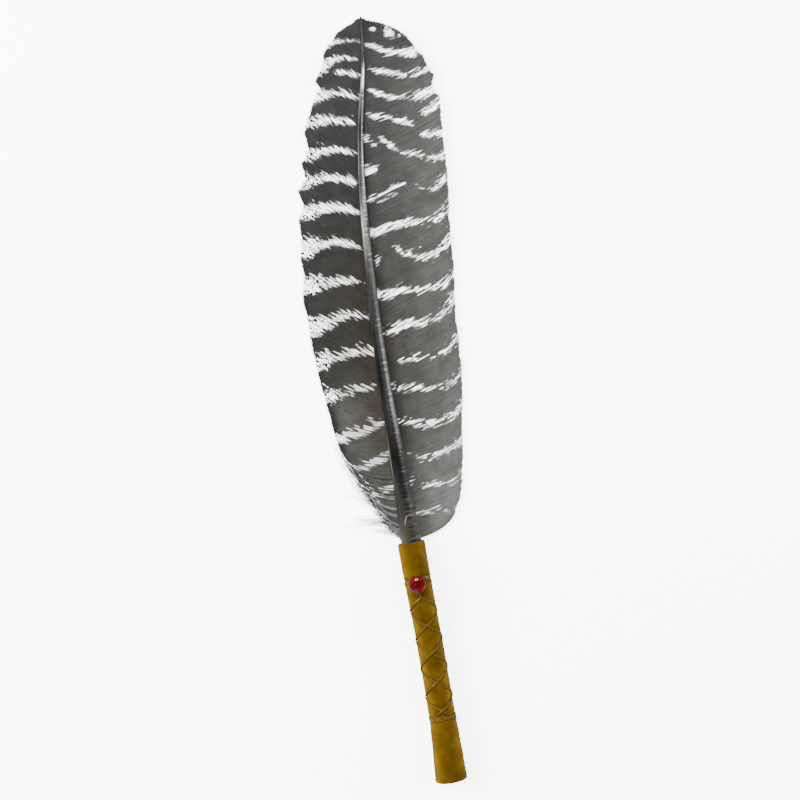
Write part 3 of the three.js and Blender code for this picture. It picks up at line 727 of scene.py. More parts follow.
def leather_finish(sizes):
    """Smooth mustard leather: fine pores, faint creases, painted shade along the lacing and painted light on
    the flanks.
    """
    finish = Finish("Mustard leather")
    pores = finish.node("ShaderNodeTexVoronoi", feature="F1")
    finish.put(finish.place(), pores.inputs["Vector"])
    pores.inputs["Scale"].default_value = 2600
    cloud = finish.noise(finish.place(), 130, 4.0, 0.6)
    rub = finish.noise(finish.place(), 420, 3.0, 0.6)
    creases = finish.noise(finish.place("Object", (2.2, 0.6, 2.2)), 260, 3.0)
    base = tuple(sizes.leather)
    colour = finish.mix(
        finish.range(cloud, 0.3, 0.7), shade_of(base, 0.76, 0.69, 0.8), shade_of(base, 1.3, 1.42, 1.1))
    rubbed = finish.range(rub, 0.56, 0.74, 0, 0.5)
    colour = finish.mix(rubbed, colour, shade_of(base, 1.25, 0.95, 0.9))
    creased = finish.range(creases, 0.57, 0.75, 0, 0.55)
    colour = finish.mix(creased, colour, shade_of(base, 0.62, 0.55, 0.7))
    # Painted light: the handle's flanks lighter and bluer, as if lit from both sides.
    colour = finish.mix(finish.attribute("flank"), colour, finish.scaled(colour, 1.6, 1.72, 2.0))
    colour = finish.mix(finish.attribute("worn"), colour, finish.scaled(colour, 1.18))
    # Painted shade on the leather along the lacing, where the strands cast it.
    pressed = finish.math("MULTIPLY", finish.attribute("pressed"), finish.range(rub, 0.3, 0.7, 0.3, 0.8))
    finish.colour(finish.mix(pressed, colour, shade_of(base, 0.68, 0.58, 0.8)))
    finish.put(finish.range(cloud, 0.3, 0.7, 0.46, 0.6), finish.shader.inputs["Roughness"])
    finish.set(Specular_IOR_Level=0.01)
    height = finish.math(
        "ADD", finish.math("MULTIPLY", pores.outputs["Distance"], 0.6), finish.math("MULTIPLY", creases, 1.5))
    finish.bump(height, 0.07 * MM, 0.7)
    return finish.material


def sinew_finish(sizes):
    """Waxed sinew, half clear, so it takes the leather's colour, with paler fibres, and paler patches and a
    pale knot that are partly painted glints.
    """
    finish = Finish("Waxed sinew")
    fibres = finish.uv_noise(0.4, 9.0, 3.0, 0.6)
    patches = finish.noise(finish.place(), 330, 2.0)
    base = tuple(sizes.sinew)
    colour = finish.mix(
        finish.range(fibres, 0.3, 0.7), shade_of(base, 0.72, 0.72, 0.72), shade_of(base, 1.2, 1.2, 1.2))
    # Paler patches and the knot: partly the sinew's own paler colour and partly painted glints.
    clear = finish.math("MAXIMUM", finish.range(patches, 0.56, 0.7, 0, 0.8), finish.attribute("knotted"))
    finish.colour(finish.mix(clear, colour, shade_of(base, 1.7, 2.0, 3.6)))
    finish.set(Roughness=0.4, Specular_IOR_Level=0.022)
    finish.bump(fibres, 0.06 * MM, 0.6)
    return finish.material


def glass_finish(sizes):
    """Deep red glass with a faint swirl of lighter red, a painted reflection in violet at one side and
    painted light brightening one end.
    """
    finish = Finish("Red glass")
    swirl = finish.noise(finish.place("Object", (1, 2.4, 1)), 260, 2.0)
    base = tuple(sizes.glass)
    colour = finish.mix(finish.range(swirl, 0.42, 0.62), base, shade_of(base, 1.75, 2.2, 1))
    # Painted reflection: violet on one side and round the far end.
    colour = finish.mix(finish.attribute("violet"), colour, shade_of(base, 0.8, 5.0, 16.0))
    # Painted light: the near end brighter, as light gathered in the glass.
    finish.colour(finish.mix(finish.attribute("glow"), colour, finish.scaled(colour, 1.9, 12.0, 12.0)))
    finish.set(Roughness=0.06, IOR=1.5, Specular_IOR_Level=0.065)
    return finish.material


# The feather

def vane_barbs(sizes, name, vane, seed):
    """One vane: closed ribbons, each with a crest, whose webs lie over the next barb."""
    spread = np.random.default_rng(seed)
    margin, side = vane["margin"], vane["side"]
    steps = sizes.barb_steps
    root_y = np.arange(margin[0, 0], margin[-1, 0], sizes.barb_spacing / MM)
    count = len(root_y)
    t = np.linspace(0, 1, steps + 1)[None, :]

    def per_barb(reach, amount):
        """A random value for each barb, shared by about `reach` neighbours."""
        knots = np.arange(0, count + reach, reach)
        return np.interp(np.arange(count), knots, spread.normal(0, amount, len(knots)))[:, None]

    # Barbs of slightly uneven length, drawn together in small groups towards the margin.
    paths = barb_paths(margin, vane["sweep"], root_y, steps)
    tangent = unit(np.gradient(paths, axis=1))
    loose = smoothstep(33, 14, root_y)[:, None] * (1 if side < 0 else 0.12)
    uneven = per_barb(1, 0.16) + per_barb(5, 0.22) + (per_barb(2, 0.6) + per_barb(6, 0.9)) * loose
    lock = np.arange(count)[:, None] / 6 + per_barb(9, 0.35)
    off_lock = lock - np.floor(lock) - 0.5
    paths += tangent * (uneven * t ** 3)[..., None]
    toward_tip = np.stack([-side * tangent[..., 1], side * tangent[..., 0]], axis=-1)
    paths += toward_tip * ((per_barb(8, 0.16) + per_barb(3, 0.35) * loose) * t ** 2)[..., None]
    paths -= toward_tip * (1.9 * off_lock * loose * smoothstep(0.3, 0.9, t))[..., None]

    # Each barb is as wide as the gap to the next, with a crest, and tapers at its tip.
    gap = np.abs(np.einsum("bsk,bsk->bs", np.gradient(paths, axis=0), toward_tip))
    length = np.linalg.norm(np.diff(paths, axis=1), axis=2).sum(axis=1)[:, None]
    taper = np.clip((1 - t) * length / 1.3, 0.05, 1) ** 0.75
    width = np.clip(gap, 0.12, 0.7) * taper * (1 - 0.35 * loose * t)
    height = vane_underside(paths[..., 0], paths[..., 1]) + 0.3
    height += (per_barb(1, 0.03) + per_barb(12, 0.06) + per_barb(4, 0.12) * loose) * t
    section = [(-0.74, 0.0), (-0.18, sizes.barb_height / MM), (0.86, -0.05)]
    rings = np.empty((count, steps + 1, len(section), 3))
    for k, (out, up) in enumerate(section):
        rings[:, :, k, :2] = paths + toward_tip * (width * out)[..., None]
        rings[:, :, k, 2] = height + up * (0.35 + 0.65 * taper)
    if side > 0:
        rings = rings[:, :, ::-1]
    mesh = mesh_from_rings(name, rings)

    # The white bars: distance to their lines, how raggedly they end, how white and how dotted they are.
    x, y = rings[..., 0], rings[..., 1]
    t = t[..., None]
    nearest, above = distance_and_side(rings[..., :2].reshape(-1, 2), vane["bars"])
    low, high = vane["ragged"]
    fray = np.interp(y, *np.array(vane["fray"]).T) * sizes.fray / MM
    fray *= low + (high - low) * smoothstep(-0.7, 0.7, above.reshape(y.shape))
    fray *= read_outwards(vane["torn"], y, t)
    jitter = per_barb(1, 0.6) + per_barb(2.5, 0.36) + per_barb(8, 0.2) - 0.06
    bar = nearest.reshape(y.shape) + read_outwards(vane["shrink"], y, t) + jitter[..., None] * fray
    bright = read_outwards(vane["white"], y, t) * np.clip(1 - np.abs(per_barb(1, 0.2)), 0.45, 1)[..., None]
    speckle = vane["speckle"] * smoothstep(0.5, 0.8, t) * smoothstep(190, 178, y) * smoothstep(35, 60, y)

    # The dark bars: darker beside the shaft, uneven at the loose foot and brown beside the lower shaft. On
    # the wide vane they also hold painted sheen and painted light showing through the vane, lighter outwards.
    out = from_shaft(x, y)[1]
    tone = np.interp(y, *np.array(vane["tones"]).T) * (1 - vane["rim_shade"] * np.exp(-out / 6))
    tone *= np.exp(per_barb(1, 0.05) + (per_barb(1, 0.45) + 1.6 * np.abs(off_lock) - 0.5) * loose)[..., None]
    pale = (per_barb(1, 1.0) > 0.5) * smoothstep(18, 6, root_y)[:, None] * (side < 0)
    tone *= 1 + 4 * pale[..., None] * smoothstep(0.25, 0.6, t)
    # Wide vane lighter outwards: painted sheen and painted light showing through the vane.
    if side > 0:
        tone *= 1 + 0.38 * smoothstep(8, 24, out) * smoothstep(20, 45, y) * smoothstep(188, 165, y)
    else:
        tone *= 1 + 0.5 * smoothstep(5, 14, out) * np.exp(-(((y - 50) / 9) ** 2))
        tone *= 1 - 0.72 * smoothstep(0.66, 0.9, t) * smoothstep(56, 36, root_y)[:, None, None]
        tone *= 1 - 0.3 * smoothstep(0.9, 0.98, t)
    warm = vane["warm"] * np.exp(-out / 7) * smoothstep(128, 90, y) * smoothstep(12, 50, y)
    set_attributes(mesh, bar=bar, fray=fray, bright=bright, speckle=speckle, tone=tone, warm=warm)
    set_uv(mesh, t * length[..., None], np.arange(count)[:, None, None] + 37 * seed, y.shape)
    return mesh


def read_outwards(rows, y, t):
    """Reads a table by y, and between its three columns by the share t of a barb's length."""
    rows = np.array(rows, float)
    near, halfway, outer = (np.interp(y, rows[:, 0], rows[:, k]) for k in (1, 2, 3))
    return (near + (halfway - near) * np.clip((t - 0.3) / 0.3, 0, 1)
            + (outer - halfway) * np.clip((t - 0.6) / 0.2, 0, 1))


def down_hairs(seed):
    """Loose down: wisps along each lock, fluff at the foot of the narrow vane, and slipped barbs."""
    spread = np.random.default_rng(seed)
    steps = 14
    hairs = []

    def hair(root, tip, leave, arrive, thick, shades, shares):
        hairs.append((*root, *tip, leave, arrive, thick, spread.choice(shades, p=shares)))

    for root_y, tip_x, tip_y, leave in DOWN_LOCKS:
        upright = 66 if tip_y > 35 else 8
        for _ in range(15):
            reach = spread.uniform(0.5, 1.0)
            root = np.array([-3.2, root_y + spread.normal(0, 0.8)])
            tip = root + (np.array([tip_x, tip_y]) - root) * reach + spread.normal(0, 1.0, 2) * (1.2 - reach)
            hair(root, tip, leave + spread.normal(0, 7), upright + spread.normal(0, 12), 0.075,
                 [0.16, 0.06, 0.025, 0.012], [0.3, 0.25, 0.25, 0.2])
    edge = barb_paths(NARROW_MARGIN, NARROW_SWEEP, np.arange(0.9, 34, 0.25), 20)

    # Fluff in small tufts that share a direction.
    for _ in range(96):
        barb = edge[min(int(spread.exponential(22)), 90)]
        start = barb[int(spread.uniform(0.4, 0.98) * 20)]
        aim = spread.normal(34, 15)
        for _ in range(5):
            lean = aim + spread.normal(0, 9)
            reach = spread.uniform(1.5, 5.5)
            root = start + spread.normal(0, 0.3, 2)
            tip = root + reach * np.array([-math.cos(math.radians(lean)), math.sin(math.radians(lean))])
            hair(root, tip, lean + spread.normal(-16, 12), lean + spread.normal(14, 20), 0.07,
                 [0.2, 0.07, 0.03, 0.015], [0.3, 0.3, 0.25, 0.15])

    # Barbs that have slipped out of the vane and run along its margin.
    for _ in range(60):
        first = spread.integers(8, 96)
        last = min(first + spread.integers(14, 44), len(edge) - 1)
        aside = spread.uniform(-0.4, 1.6) * np.array([-0.85, -0.5])
        hair(edge[first, 13], edge[last, 20] + aside, 42 + spread.normal(0, 9), 70 + spread.normal(0, 8), 0.1,
             [0.6, 0.18, 0.05, 0.018], [0.3, 0.22, 0.26, 0.22])

    hairs = np.array(hairs)
    count = len(hairs)
    paths = bend(hairs[:, 0:2], hairs[:, 2:4], -1, np.radians(hairs[:, 4]), np.radians(hairs[:, 5]), steps)
    t = np.linspace(0, 1, steps + 1)[None, :]
    tangent = unit(np.gradient(paths, axis=1))
    normal = np.stack([tangent[..., 1], -tangent[..., 0]], axis=-1)
    wave = 0.22 * np.sin(t * 8 + spread.uniform(0, 6, count)[:, None]) * t
    paths += normal * wave[..., None]
    thick = (hairs[:, 6, None] * (1 - t * 0.7))[..., None]
    middle = vane_underside(np.maximum(paths[..., 0], -26), paths[..., 1])
    middle += 0.1 + t * spread.uniform(0.0, 0.7, count)[:, None]
    path = np.concatenate([paths, middle[..., None]], axis=2)
    across = np.concatenate([normal * thick, 0 * thick], axis=2)
    rings = rings_about(path, across, thick * np.array([0, 0, -1]), 3)
    mesh = mesh_from_rings("down", rings)
    shape = rings.shape[:3]
    set_attributes(mesh, shade=np.broadcast_to(hairs[:, 7, None, None], shape))
    set_uv(mesh, t[..., None] * 20, np.arange(count)[:, None, None], shape)
    return mesh


def shaft_piece():
    """The quill inside the handle, then the boxy shaft with its groove."""
    stops = np.concatenate([
        [-62, -61, -60, -57.5, -55, -50, -45, -38, -30, -22, -15, -8, -3, -1],
        np.arange(0, 18, 1.0), np.arange(18, 192, 3.0), [192.5, 194, 194.6, 195]])
    stations = [(
        float(shaft_x(y)), y, float(shaft_under(y) + shaft_height(y) / 2),
        float(shaft_width(y)), float(shaft_height(y))) for y in stops]
    shaft = draw_out("shaft", stations, 24)
    refine(shaft, "CATMULL_CLARK", 2)
    mesh = shaft.data
    places = places_of(mesh)
    x, y, z = places.T
    half_width, half_height = shaft_width(y) / 2, shaft_height(y) / 2
    across = np.clip((x - shaft_x(y)) / half_width, -1, 1)
    up = np.clip((z - shaft_under(y) - half_height) / half_height, -1, 1)
    boxy = 1 - 0.22 * smoothstep(2, 12, y)
    across = np.sign(across) * np.abs(across) ** boxy
    up = np.sign(up) * np.abs(up) ** boxy
    sunk = shaft_groove(y) * np.exp(-((across / 0.5) ** 2)) * (up > 0)
    bulk = np.stack(
        [shaft_x(y) + across * half_width, y, shaft_under(y) + (up + 1) * half_height - sunk], axis=1)
    reshape(mesh, bulk)

    # A hollow at the foot painted dark, painted shade, with its lips, and a pale line along the left edge,
    # all on the upper side.
    below = 3.0 * smoothstep(0.6, -0.1, up)
    hollow = distance_and_side(bulk[:, :2], [[(-0.9, 0.8, 1.6), (-0.8, 5, 1.4), (-0.7, 8, 0.6)]])[0]
    lip = distance_and_side(bulk[:, :2], [
        [(-1.4, 6.6, 0.12), (-1.0, 8.2, 0.22), (-0.4, 9.4, 0.26), (0.3, 10.2, 0.08)],
        [(1.9, 6.2, -0.12), (2.9, 4.4, -0.04), (3.6, 2.9, -0.04)],
        [(-2.85, 20, -0.1), (-2.62, 29, 0.12), (-2.42, 37, 0.1), (-2.25, 45, -0.1)]])[0]
    set_attributes(mesh, along=np.clip(y, 0, SHAFT_LENGTH) / SHAFT_LENGTH, across=across,
                   hollow=hollow + below, lip=lip + below)
    set_uv(mesh, y, across, y.shape)
    bpy.ops.object.shade_smooth()
    return shaft


# The handle

def leather_radius(angle, radius, sizes):
    """Radius of the rolled sheet, which grows by its own thickness in one turn."""
    turn = np.mod(angle - sizes.seam_angle, 2 * math.pi) / (2 * math.pi)
    return radius + sizes.sheet_step / MM * (turn - 0.5)


def leather_piece(sizes):
    """The sheet rolled round the quill: a tube drawn out, turned in at its mouth, then rolled and pressed."""
    sides = 48
    butt = [(BUTT_Y, share * 5.45) for share in np.linspace(0.05, 1, 14)]
    butt += [(-89.9, 5.66), (-89.7, 5.8), (-89.3, 5.85)]
    wall = [(y, float(handle_radius(y))) for y in np.arange(-88.5, -1.4, 1.5)]
    rim = [(-0.7, 4.99), (-0.35, 4.95), (-0.1, 4.84), (0, 4.68), (0, 4.45)]
    outside = [(0, y, AXIS_HEIGHT, 2 * radius, 2 * radius) for y, radius in butt + wall + rim]
    bore = []
    for y in (0, -0.2, -1.5, -5, -12, -20, -28, -36, -44, -50, -55, -58, -60, -61.5, BORE_END):
        half = float(shaft_height(y)) / 2
        bore.append((float(shaft_x(y)), y, float(shaft_under(y)) + half,
                     float(shaft_width(y)) + 0.6, 2 * half + 0.6))
    handle = draw_out("leather_handle", outside + bore, sides)
    bpy.ops.object.mode_set(mode="EDIT")
    for slip in (-0.012, 0.012):
        cut = sizes.seam_angle + slip
        bpy.ops.mesh.select_all(action="SELECT")
        bpy.ops.mesh.bisect(
            plane_co=to_frame(0, 0, AXIS_HEIGHT), plane_no=(-math.sin(cut), 0, math.cos(cut)))
    bpy.ops.object.mode_set(mode="OBJECT")
    refine(handle, "SIMPLE", 2)
    mesh = handle.data
    places = places_of(mesh)
    x, y, z = places.T
    angle = np.arctan2(z - AXIS_HEIGHT, x)
    radius = np.hypot(x, z - AXIS_HEIGHT)
    outer = np.where(y < BORE_END - 0.3, 1.0, smoothstep(4.32, 4.6, radius))
    side_wall = outer * smoothstep(-89.95, -89.5, y) * smoothstep(-0.02, -0.5, y)

    # A faceted wall is rounded, rolled by the sheet's own thickness, pressed by the lacing and left
    # uneven. The turns of the sheet show as a spiral line in the butt.
    facet = np.cos(np.mod(angle, 2 * math.pi / sides) - math.pi / sides) / math.cos(math.pi / sides)
    press = pressing(90 - np.degrees(angle), y, sizes) * side_wall
    uneven = np.array([noise.noise(Vector((c * 1.7, s * 1.7, v * 0.17))) for c, s, v in zip(
        np.cos(angle), np.sin(angle), y)])
    rolled = leather_radius(angle, ROLL_RADIUS, sizes) / ROLL_RADIUS * radius
    rolled *= np.where(side_wall > 0.5, facet, 1)
    rolled += (0.12 * uneven + sizes.press_depth / MM * (0.35 - press)) * side_wall
    wound = np.mod(radius / 1.25 - angle / (2 * math.pi), 1)
    sunk = 0.35 * np.exp(-(((wound - 0.5) / 0.12) ** 2)) * (y < BUTT_Y + 0.05)
    sunk *= smoothstep(0.4, 1.2, radius) * smoothstep(5.4, 5.0, radius)
    moved = np.stack([
        handle_x(y) + HANDLE_ASIDE + rolled * np.cos(angle), y + sunk,
        AXIS_HEIGHT + rolled * np.sin(angle)], axis=1)
    reshape(mesh, places + (moved - places) * outer[:, None])
    # The handle's sides get painted light, and the leather along the lacing gets painted shade.
    set_attributes(mesh, pressed=press, flank=smoothstep(0.25, 0.9, np.abs(np.cos(angle))),
                   worn=smoothstep(-28, -50, y) * smoothstep(-88, -80, y))
    bpy.ops.object.shade_smooth_by_angle(angle=math.radians(50))
    return handle


def strand_stations(sizes):
    """Each strand's stations, (turn in degrees from the top towards +X, y), and its lift."""
    pitch = sizes.lace_pitch / MM
    last = 360 * (FIRST_CROSSING - BAND_Y) / pitch
    down = [(-3, FIRST_CROSSING + 0.2), (last, BAND_Y)]
    over = [(0, -13.4), (30, -13.7), (60, -14.4), (90, FIRST_CROSSING + pitch / 4), (180 + last, BAND_Y)]
    round_top = [(0, -13.2), (360, -13.2)]

    def mirrored(stations):
        return [(-turn, y) for turn, y in reversed(stations)]

    return [
        (round_top, 0.0), (down, 0.0), (mirrored(down), OVERLAP), (over, 0.0), (mirrored(over), OVERLAP),
        ([(0, BAND_Y), (362, BAND_Y)], 0.06), ([(0, BAND_Y - 1), (362, BAND_Y - 1)], 0.12),
    ]


def pressing(turn, y, sizes):
    """How hard the lacing presses at a place on the leather, from 0 to 1."""
    press = np.zeros(turn.shape)
    for stations, _ in strand_stations(sizes):
        turns, heights = np.array(stations, float).T
        slope = abs((heights[-1] - heights[-2]) / (turns[-1] - turns[-2]))
        lean = 1 / math.hypot(1, slope * 360 / (2 * math.pi * ROLL_RADIUS))
        for whole in range(-4, 5):
            at = turn + 360 * whole
            inside = (at >= turns[0]) & (at <= turns[-1])
            gap = np.abs(y - np.interp(at, turns, heights)) * lean
            press = np.maximum(press, np.where(inside, np.exp(-((gap / 0.75) ** 2)), 0))
    return press


def on_handle(turn, y, lift, sizes):
    """Places on the leather at a turn from its top, with a lift, and the direction outwards there."""
    turn = np.radians(turn)
    reach = np.radians(np.arange(-16, 17, 4))
    radii = [leather_radius(math.pi / 2 - turn + step, handle_radius(y), sizes) for step in reach]
    outwards = np.stack([np.sin(turn), np.zeros_like(turn), np.cos(turn)], axis=-1)
    middle = np.stack([handle_x(y) + HANDLE_ASIDE, y, np.full_like(y, AXIS_HEIGHT)], axis=-1)
    return middle + outwards * (np.max(radii, axis=0) + lift)[:, None], outwards


def strand_mesh(name, stations, lift, sizes, seed):
    """One flat strand of sinew laid over the leather."""
    spread = np.random.default_rng(seed)
    turns, heights = np.array(stations, float).T
    turn = np.arange(turns[0], turns[-1] + 1, 4.0)
    y = np.interp(turn, turns, heights)
    if len(stations) > 2:
        y = np.convolve(np.pad(y, 4, mode="edge"), np.ones(9) / 9, mode="valid")

    def wander(knots, amount):
        return np.interp(turn, np.linspace(turn[0], turn[-1], knots), spread.normal(0, amount, knots))

    y = y + wander(9, 0.18)
    place, out = on_handle(turn, y, lift + 0.03 * np.sin(turn * 0.11 + seed), sizes)
    across = np.cross(unit(np.gradient(place, axis=0)), out)
    half = sizes.lace_width / MM / 2 * (1 + wander(24, 0.12))
    out = out * sizes.lace_thickness / MM / 2
    return tube_mesh(name, place, across * half[:, None], out, turn * 0.09, flatness=0.7)


def cord_mesh(name, points, radius):
    """A round strand through given points."""
    points = np.array(points, float)
    reach = np.linspace(0, len(points) - 1, 16 * len(points))
    path = np.stack([np.interp(reach, np.arange(len(points)), points[:, k]) for k in range(3)], axis=1)
    for _ in range(40):
        path[1:-1] = (path[:-2] + 2 * path[1:-1] + path[2:]) / 4
    along = unit(np.gradient(path, axis=0))
    aside = np.array([0.8, 0, 0.6])
    side = unit(aside - along * (along @ aside)[:, None])
    return tube_mesh(name, path, radius * side, radius * np.cross(along, side), reach * 2)


def tube_mesh(name, path, across, out, along, flatness=1.0):
    """One strand about a path, with its UV map running along it and round it."""
    sides = 10
    rings = rings_about(path, across, out, sides, flatness)[None]
    mesh = mesh_from_rings(name, rings)
    set_uv(mesh, along[:, None], np.arange(sides) / sides, rings.shape[:3])
    return mesh


def bead_piece(sizes):
    """A drilled bead: a ball whose ends are opened, bridged through and rounded at their lips."""
    radius = sizes.bead_radius
    centre = to_frame(*BEAD_PLACE)
    ring_count = 28
    deselect_all()
    bpy.ops.mesh.primitive_uv_sphere_add(
        segments=64, ring_count=ring_count, radius=radius, location=centre, rotation=(math.pi / 2, 0, 0))
    bead = bpy.context.object
    bead.name = bead.data.name = "bead"
    bpy.ops.object.transform_apply(location=True, rotation=True, scale=True)

    def select_rings(rings):
        """Selects the vertices of that many rings at each end, and those inside them."""
        reach = radius * math.sin(math.pi / ring_count * (rings + 0.5))
        for vertex in bead.data.vertices:
            away = vertex.co - centre
            vertex.select = math.hypot(away.x, away.z) < reach

    bpy.ops.object.mode_set(mode="EDIT")
    bpy.ops.mesh.select_all(action="DESELECT")
    bpy.ops.mesh.select_mode(type="VERT")
    bpy.ops.object.mode_set(mode="OBJECT")
    select_rings(2)
    bpy.ops.object.mode_set(mode="EDIT")
    bpy.ops.mesh.delete(type="VERT")
    bpy.ops.object.mode_set(mode="OBJECT")
    select_rings(3)
    bpy.ops.object.mode_set(mode="EDIT")
    bpy.ops.mesh.select_mode(type="EDGE")
    bpy.ops.mesh.bridge_edge_loops(number_cuts=4)
    bpy.ops.mesh.select_all(action="SELECT")
    bpy.ops.mesh.normals_make_consistent(inside=False)
    bpy.ops.object.mode_set(mode="OBJECT")
    lip = bead.modifiers.new("Lip", "BEVEL")
    lip.width = 0.16 * MM
    lip.segments = 3
    lip.limit_method = "ANGLE"
    lip.angle_limit = math.radians(50)
    bpy.ops.object.modifier_apply(modifier=lip.name)
    bpy.ops.object.shade_smooth()

    # One side of the glass and a cap round its far end are painted violet, a painted reflection. Its near end
    # is painted brighter, painted light gathered in the glass.
    places = (places_of(bead.data) - BEAD_PLACE) / (radius / MM)
    # Mask for the painted violet reflection on one side and round the far end.
    side = smoothstep(0.3, 0.95, places @ np.array([-0.8, -0.45, 0.3]))
    cap = 0.4 * smoothstep(0.45, 0.75, places[:, 1])
    # Mask for the painted light at the near end.
    glow = smoothstep(0.15, 0.8, places @ np.array([0.3, -0.9, 0.1]))
    set_attributes(bead.data, violet=np.maximum(side, cap), glow=glow)
    return bead


class FEATHER_OT_shaft(bpy.types.Operator):
    """Build the quill and the grooved shaft"""

    bl_idname = "feather.shaft"
    bl_label = "Shaft"

    def execute(self, context):
        finish_piece(shaft_piece(), shaft_finish(), "feather")
        return {"FINISHED"}


class FEATHER_OT_vanes(bpy.types.Operator):
    """Build both vanes, barb by barb"""

    bl_idname = "feather.vanes"
    bl_label = "Vanes"

    def execute(self, context):
        sizes = context.scene.feather_sizes
        material = barb_finish(sizes)
        for name, vane, seed in (("wide_vane", WIDE_VANE, 11), ("narrow_vane", NARROW_VANE, 23)):
            finished(name, vane_barbs(sizes, name, vane, seed), material, "feather")
        return {"FINISHED"}


class FEATHER_OT_down(bpy.types.Operator):
    """Build the loose down at the foot of the narrow vane"""

    bl_idname = "feather.down"
    bl_label = "Down"

    def execute(self, context):
        finished("down", down_hairs(5), down_finish(), "feather")
        return {"FINISHED"}


class FEATHER_OT_handle(bpy.types.Operator):
    """Build the rolled leather handle"""

    bl_idname = "feather.handle"
    bl_label = "Leather handle"

    def execute(self, context):
        sizes = context.scene.handle_sizes
        finish_piece(leather_piece(sizes), leather_finish(sizes), "leather_wrap")
        return {"FINISHED"}


class FEATHER_OT_lacing(bpy.types.Operator):
    """Build the sinew lacing"""

    bl_idname = "feather.lacing"
    bl_label = "Lacing"

    def execute(self, context):
        sizes = context.scene.handle_sizes
        parts = [strand_mesh(f"strand_{k}", stations, lift, sizes, k)
                 for k, (stations, lift) in enumerate(strand_stations(sizes))]
        x, y, z = BEAD_PLACE
        end = sizes.bead_radius / MM
        parts.append(cord_mesh("through_bead", [
            (x + 0.3, -13.3, AXIS_HEIGHT + 5.0), (x + 0.2, y + end - 0.7, z - 2.6), (x, y + end - 0.4, z),
            (x, y, z), (x, y - end + 0.2, z), (x + 0.2, y - end - 0.3, z - 2.0),
            (x + 0.4, FIRST_CROSSING, AXIS_HEIGHT + 4.9)], 0.38))
        coil = [1.6 * k for k in range(11)]
        parts.append(cord_mesh("knot", [
            (2.9 + 0.17 * k, -13.9 + 0.7 * math.cos(turn),
             AXIS_HEIGHT + 4.2 - 0.13 * k + 0.45 * math.sin(turn))
            for k, turn in enumerate(coil)], 0.34))
        for mesh in parts:
            # The knot is painted pale, partly its own colour and partly a painted glint.
            set_attributes(mesh, knotted=np.full(len(mesh.vertices), 0.9 if mesh.name == "knot" else 0.0))
        deselect_all()
        for mesh in parts:
            piece = bpy.data.objects.new(mesh.name, mesh)
            context.collection.objects.link(piece)
            piece.select_set(True)
            context.view_layer.objects.active = piece
        bpy.ops.object.join()
        lacing = context.view_layer.objects.active
        lacing.name = lacing.data.name = "lacing"
        point_outwards(lacing.data)
        finish_piece(lacing, sinew_finish(sizes), "sinew_lacing")
        return {"FINISHED"}


class FEATHER_OT_bead(bpy.types.Operator):
    """Build the drilled glass bead"""

    bl_idname = "feather.bead"
    bl_label = "Bead"

    def execute(self, context):
        sizes = context.scene.handle_sizes
        finish_piece(bead_piece(sizes), glass_finish(sizes), "glass_bead")
        return {"FINISHED"}


def soft_light(name, place, size, power, gloss):
    """A round lamp aimed at the middle, which either lights surfaces or only glints on them."""
    light = bpy.data.lights.new(name, "AREA")
    light.shape = "DISK"
    light.size = size
    light.energy = power
    lamp = bpy.data.objects.new(name, light)
    lamp.location = place
    lamp.visible_diffuse = not gloss
    lamp.visible_glossy = gloss
    lamp.rotation_euler = (-Vector(place)).to_track_quat("-Z", "Y").to_euler()
    bpy.context.collection.objects.link(lamp)


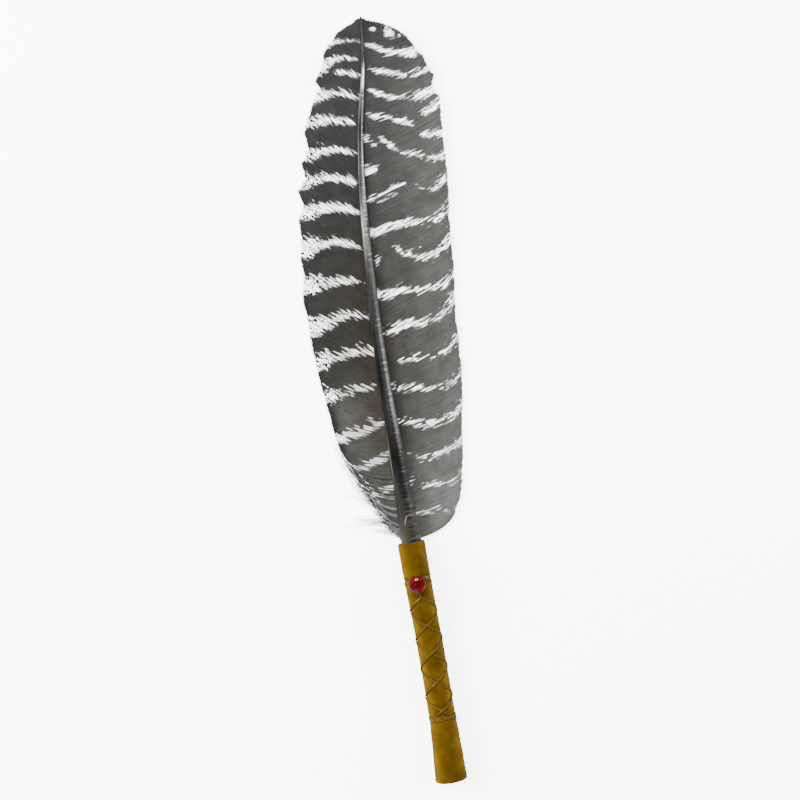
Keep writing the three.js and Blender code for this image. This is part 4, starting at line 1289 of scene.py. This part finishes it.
class FEATHER_OT_stage(bpy.types.Operator):
    """Lay the floor, set the lights and the camera"""

    bl_idname = "feather.stage"
    bl_label = "Stage"

    def execute(self, context):
        deselect_all()
        bpy.ops.mesh.primitive_plane_add(size=6, location=(0, 0, 0))
        floor = context.object
        floor.name = "floor"
        finish = Finish("Pale floor")
        finish.colour((0.95, 0.95, 0.95, 1))
        finish.set(Roughness=0.9, Specular_IOR_Level=0.1, Emission_Color=(1, 1, 1, 1), Emission_Strength=4.4)
        floor.data.materials.append(finish.material)
        floor.visible_glossy = False

        world = bpy.data.worlds.new("studio")
        world.use_nodes = True
        sky = world.node_tree.nodes["Background"]
        sky.inputs["Color"].default_value = (1, 1, 1, 1)
        sky.inputs["Strength"].default_value = 0.92
        context.scene.world = world
        for lamp in LAMPS:
            soft_light(*lamp)

        # A ring of small lamps low beyond the tip, which shows as a ring on the bead.
        for k in range(RING_LAMPS):
            turn = 2 * math.pi * k / RING_LAMPS
            aside = math.radians(-2 + 17 * math.cos(turn))
            above = math.radians(16 + 12 * math.sin(turn))
            place = 0.82 * Vector((
                math.sin(aside) * math.cos(above), math.cos(aside) * math.cos(above), math.sin(above)))
            soft_light(f"ring_{k}", place, 0.09, 84.0 / RING_LAMPS * (1 + 0.8 * math.sin(turn)), True)

        camera = bpy.data.objects.new("camera", bpy.data.cameras.new("camera"))
        camera.data.sensor_width = 36
        camera.data.lens = camera.data.sensor_width * CAMERA_HEIGHT / VIEW_WIDTH
        camera.data.clip_start = 0.01
        camera.location = to_frame(*CAMERA_AIM) + Vector((0, 0, CAMERA_HEIGHT * MM))
        camera.rotation_euler = (0, 0, CAMERA_TURN)
        context.collection.objects.link(camera)
        context.scene.camera = camera
        return {"FINISHED"}


class FEATHER_PT_panel(bpy.types.Panel):
    bl_label = "Laced Wing Feather"
    bl_idname = "FEATHER_PT_panel"
    bl_space_type = "VIEW_3D"
    bl_region_type = "UI"
    bl_category = "Feather"

    def draw(self, context):
        for group in (context.scene.feather_sizes, context.scene.handle_sizes):
            for key in group.__annotations__:
                self.layout.prop(group, key)
        for operator in OPERATORS:
            self.layout.operator(operator.bl_idname)


OPERATORS = (
    FEATHER_OT_shaft, FEATHER_OT_vanes, FEATHER_OT_down, FEATHER_OT_handle,
    FEATHER_OT_lacing, FEATHER_OT_bead, FEATHER_OT_stage,
)
CLASSES = (FeatherSizes, HandleSizes, *OPERATORS, FEATHER_PT_panel)


def register():
    for cls in CLASSES:
        bpy.utils.register_class(cls)
    bpy.types.Scene.feather_sizes = bpy.props.PointerProperty(type=FeatherSizes)
    bpy.types.Scene.handle_sizes = bpy.props.PointerProperty(type=HandleSizes)


def unregister():
    del bpy.types.Scene.handle_sizes
    del bpy.types.Scene.feather_sizes
    for cls in reversed(CLASSES):
        bpy.utils.unregister_class(cls)


def main():
    register()
    bpy.ops.feather.shaft()
    bpy.ops.feather.vanes()
    bpy.ops.feather.down()
    bpy.ops.feather.handle()
    bpy.ops.feather.lacing()
    bpy.ops.feather.bead()
    bpy.ops.feather.stage()
    bpy.context.view_layer.update()


if __name__ == "__main__":
    main()
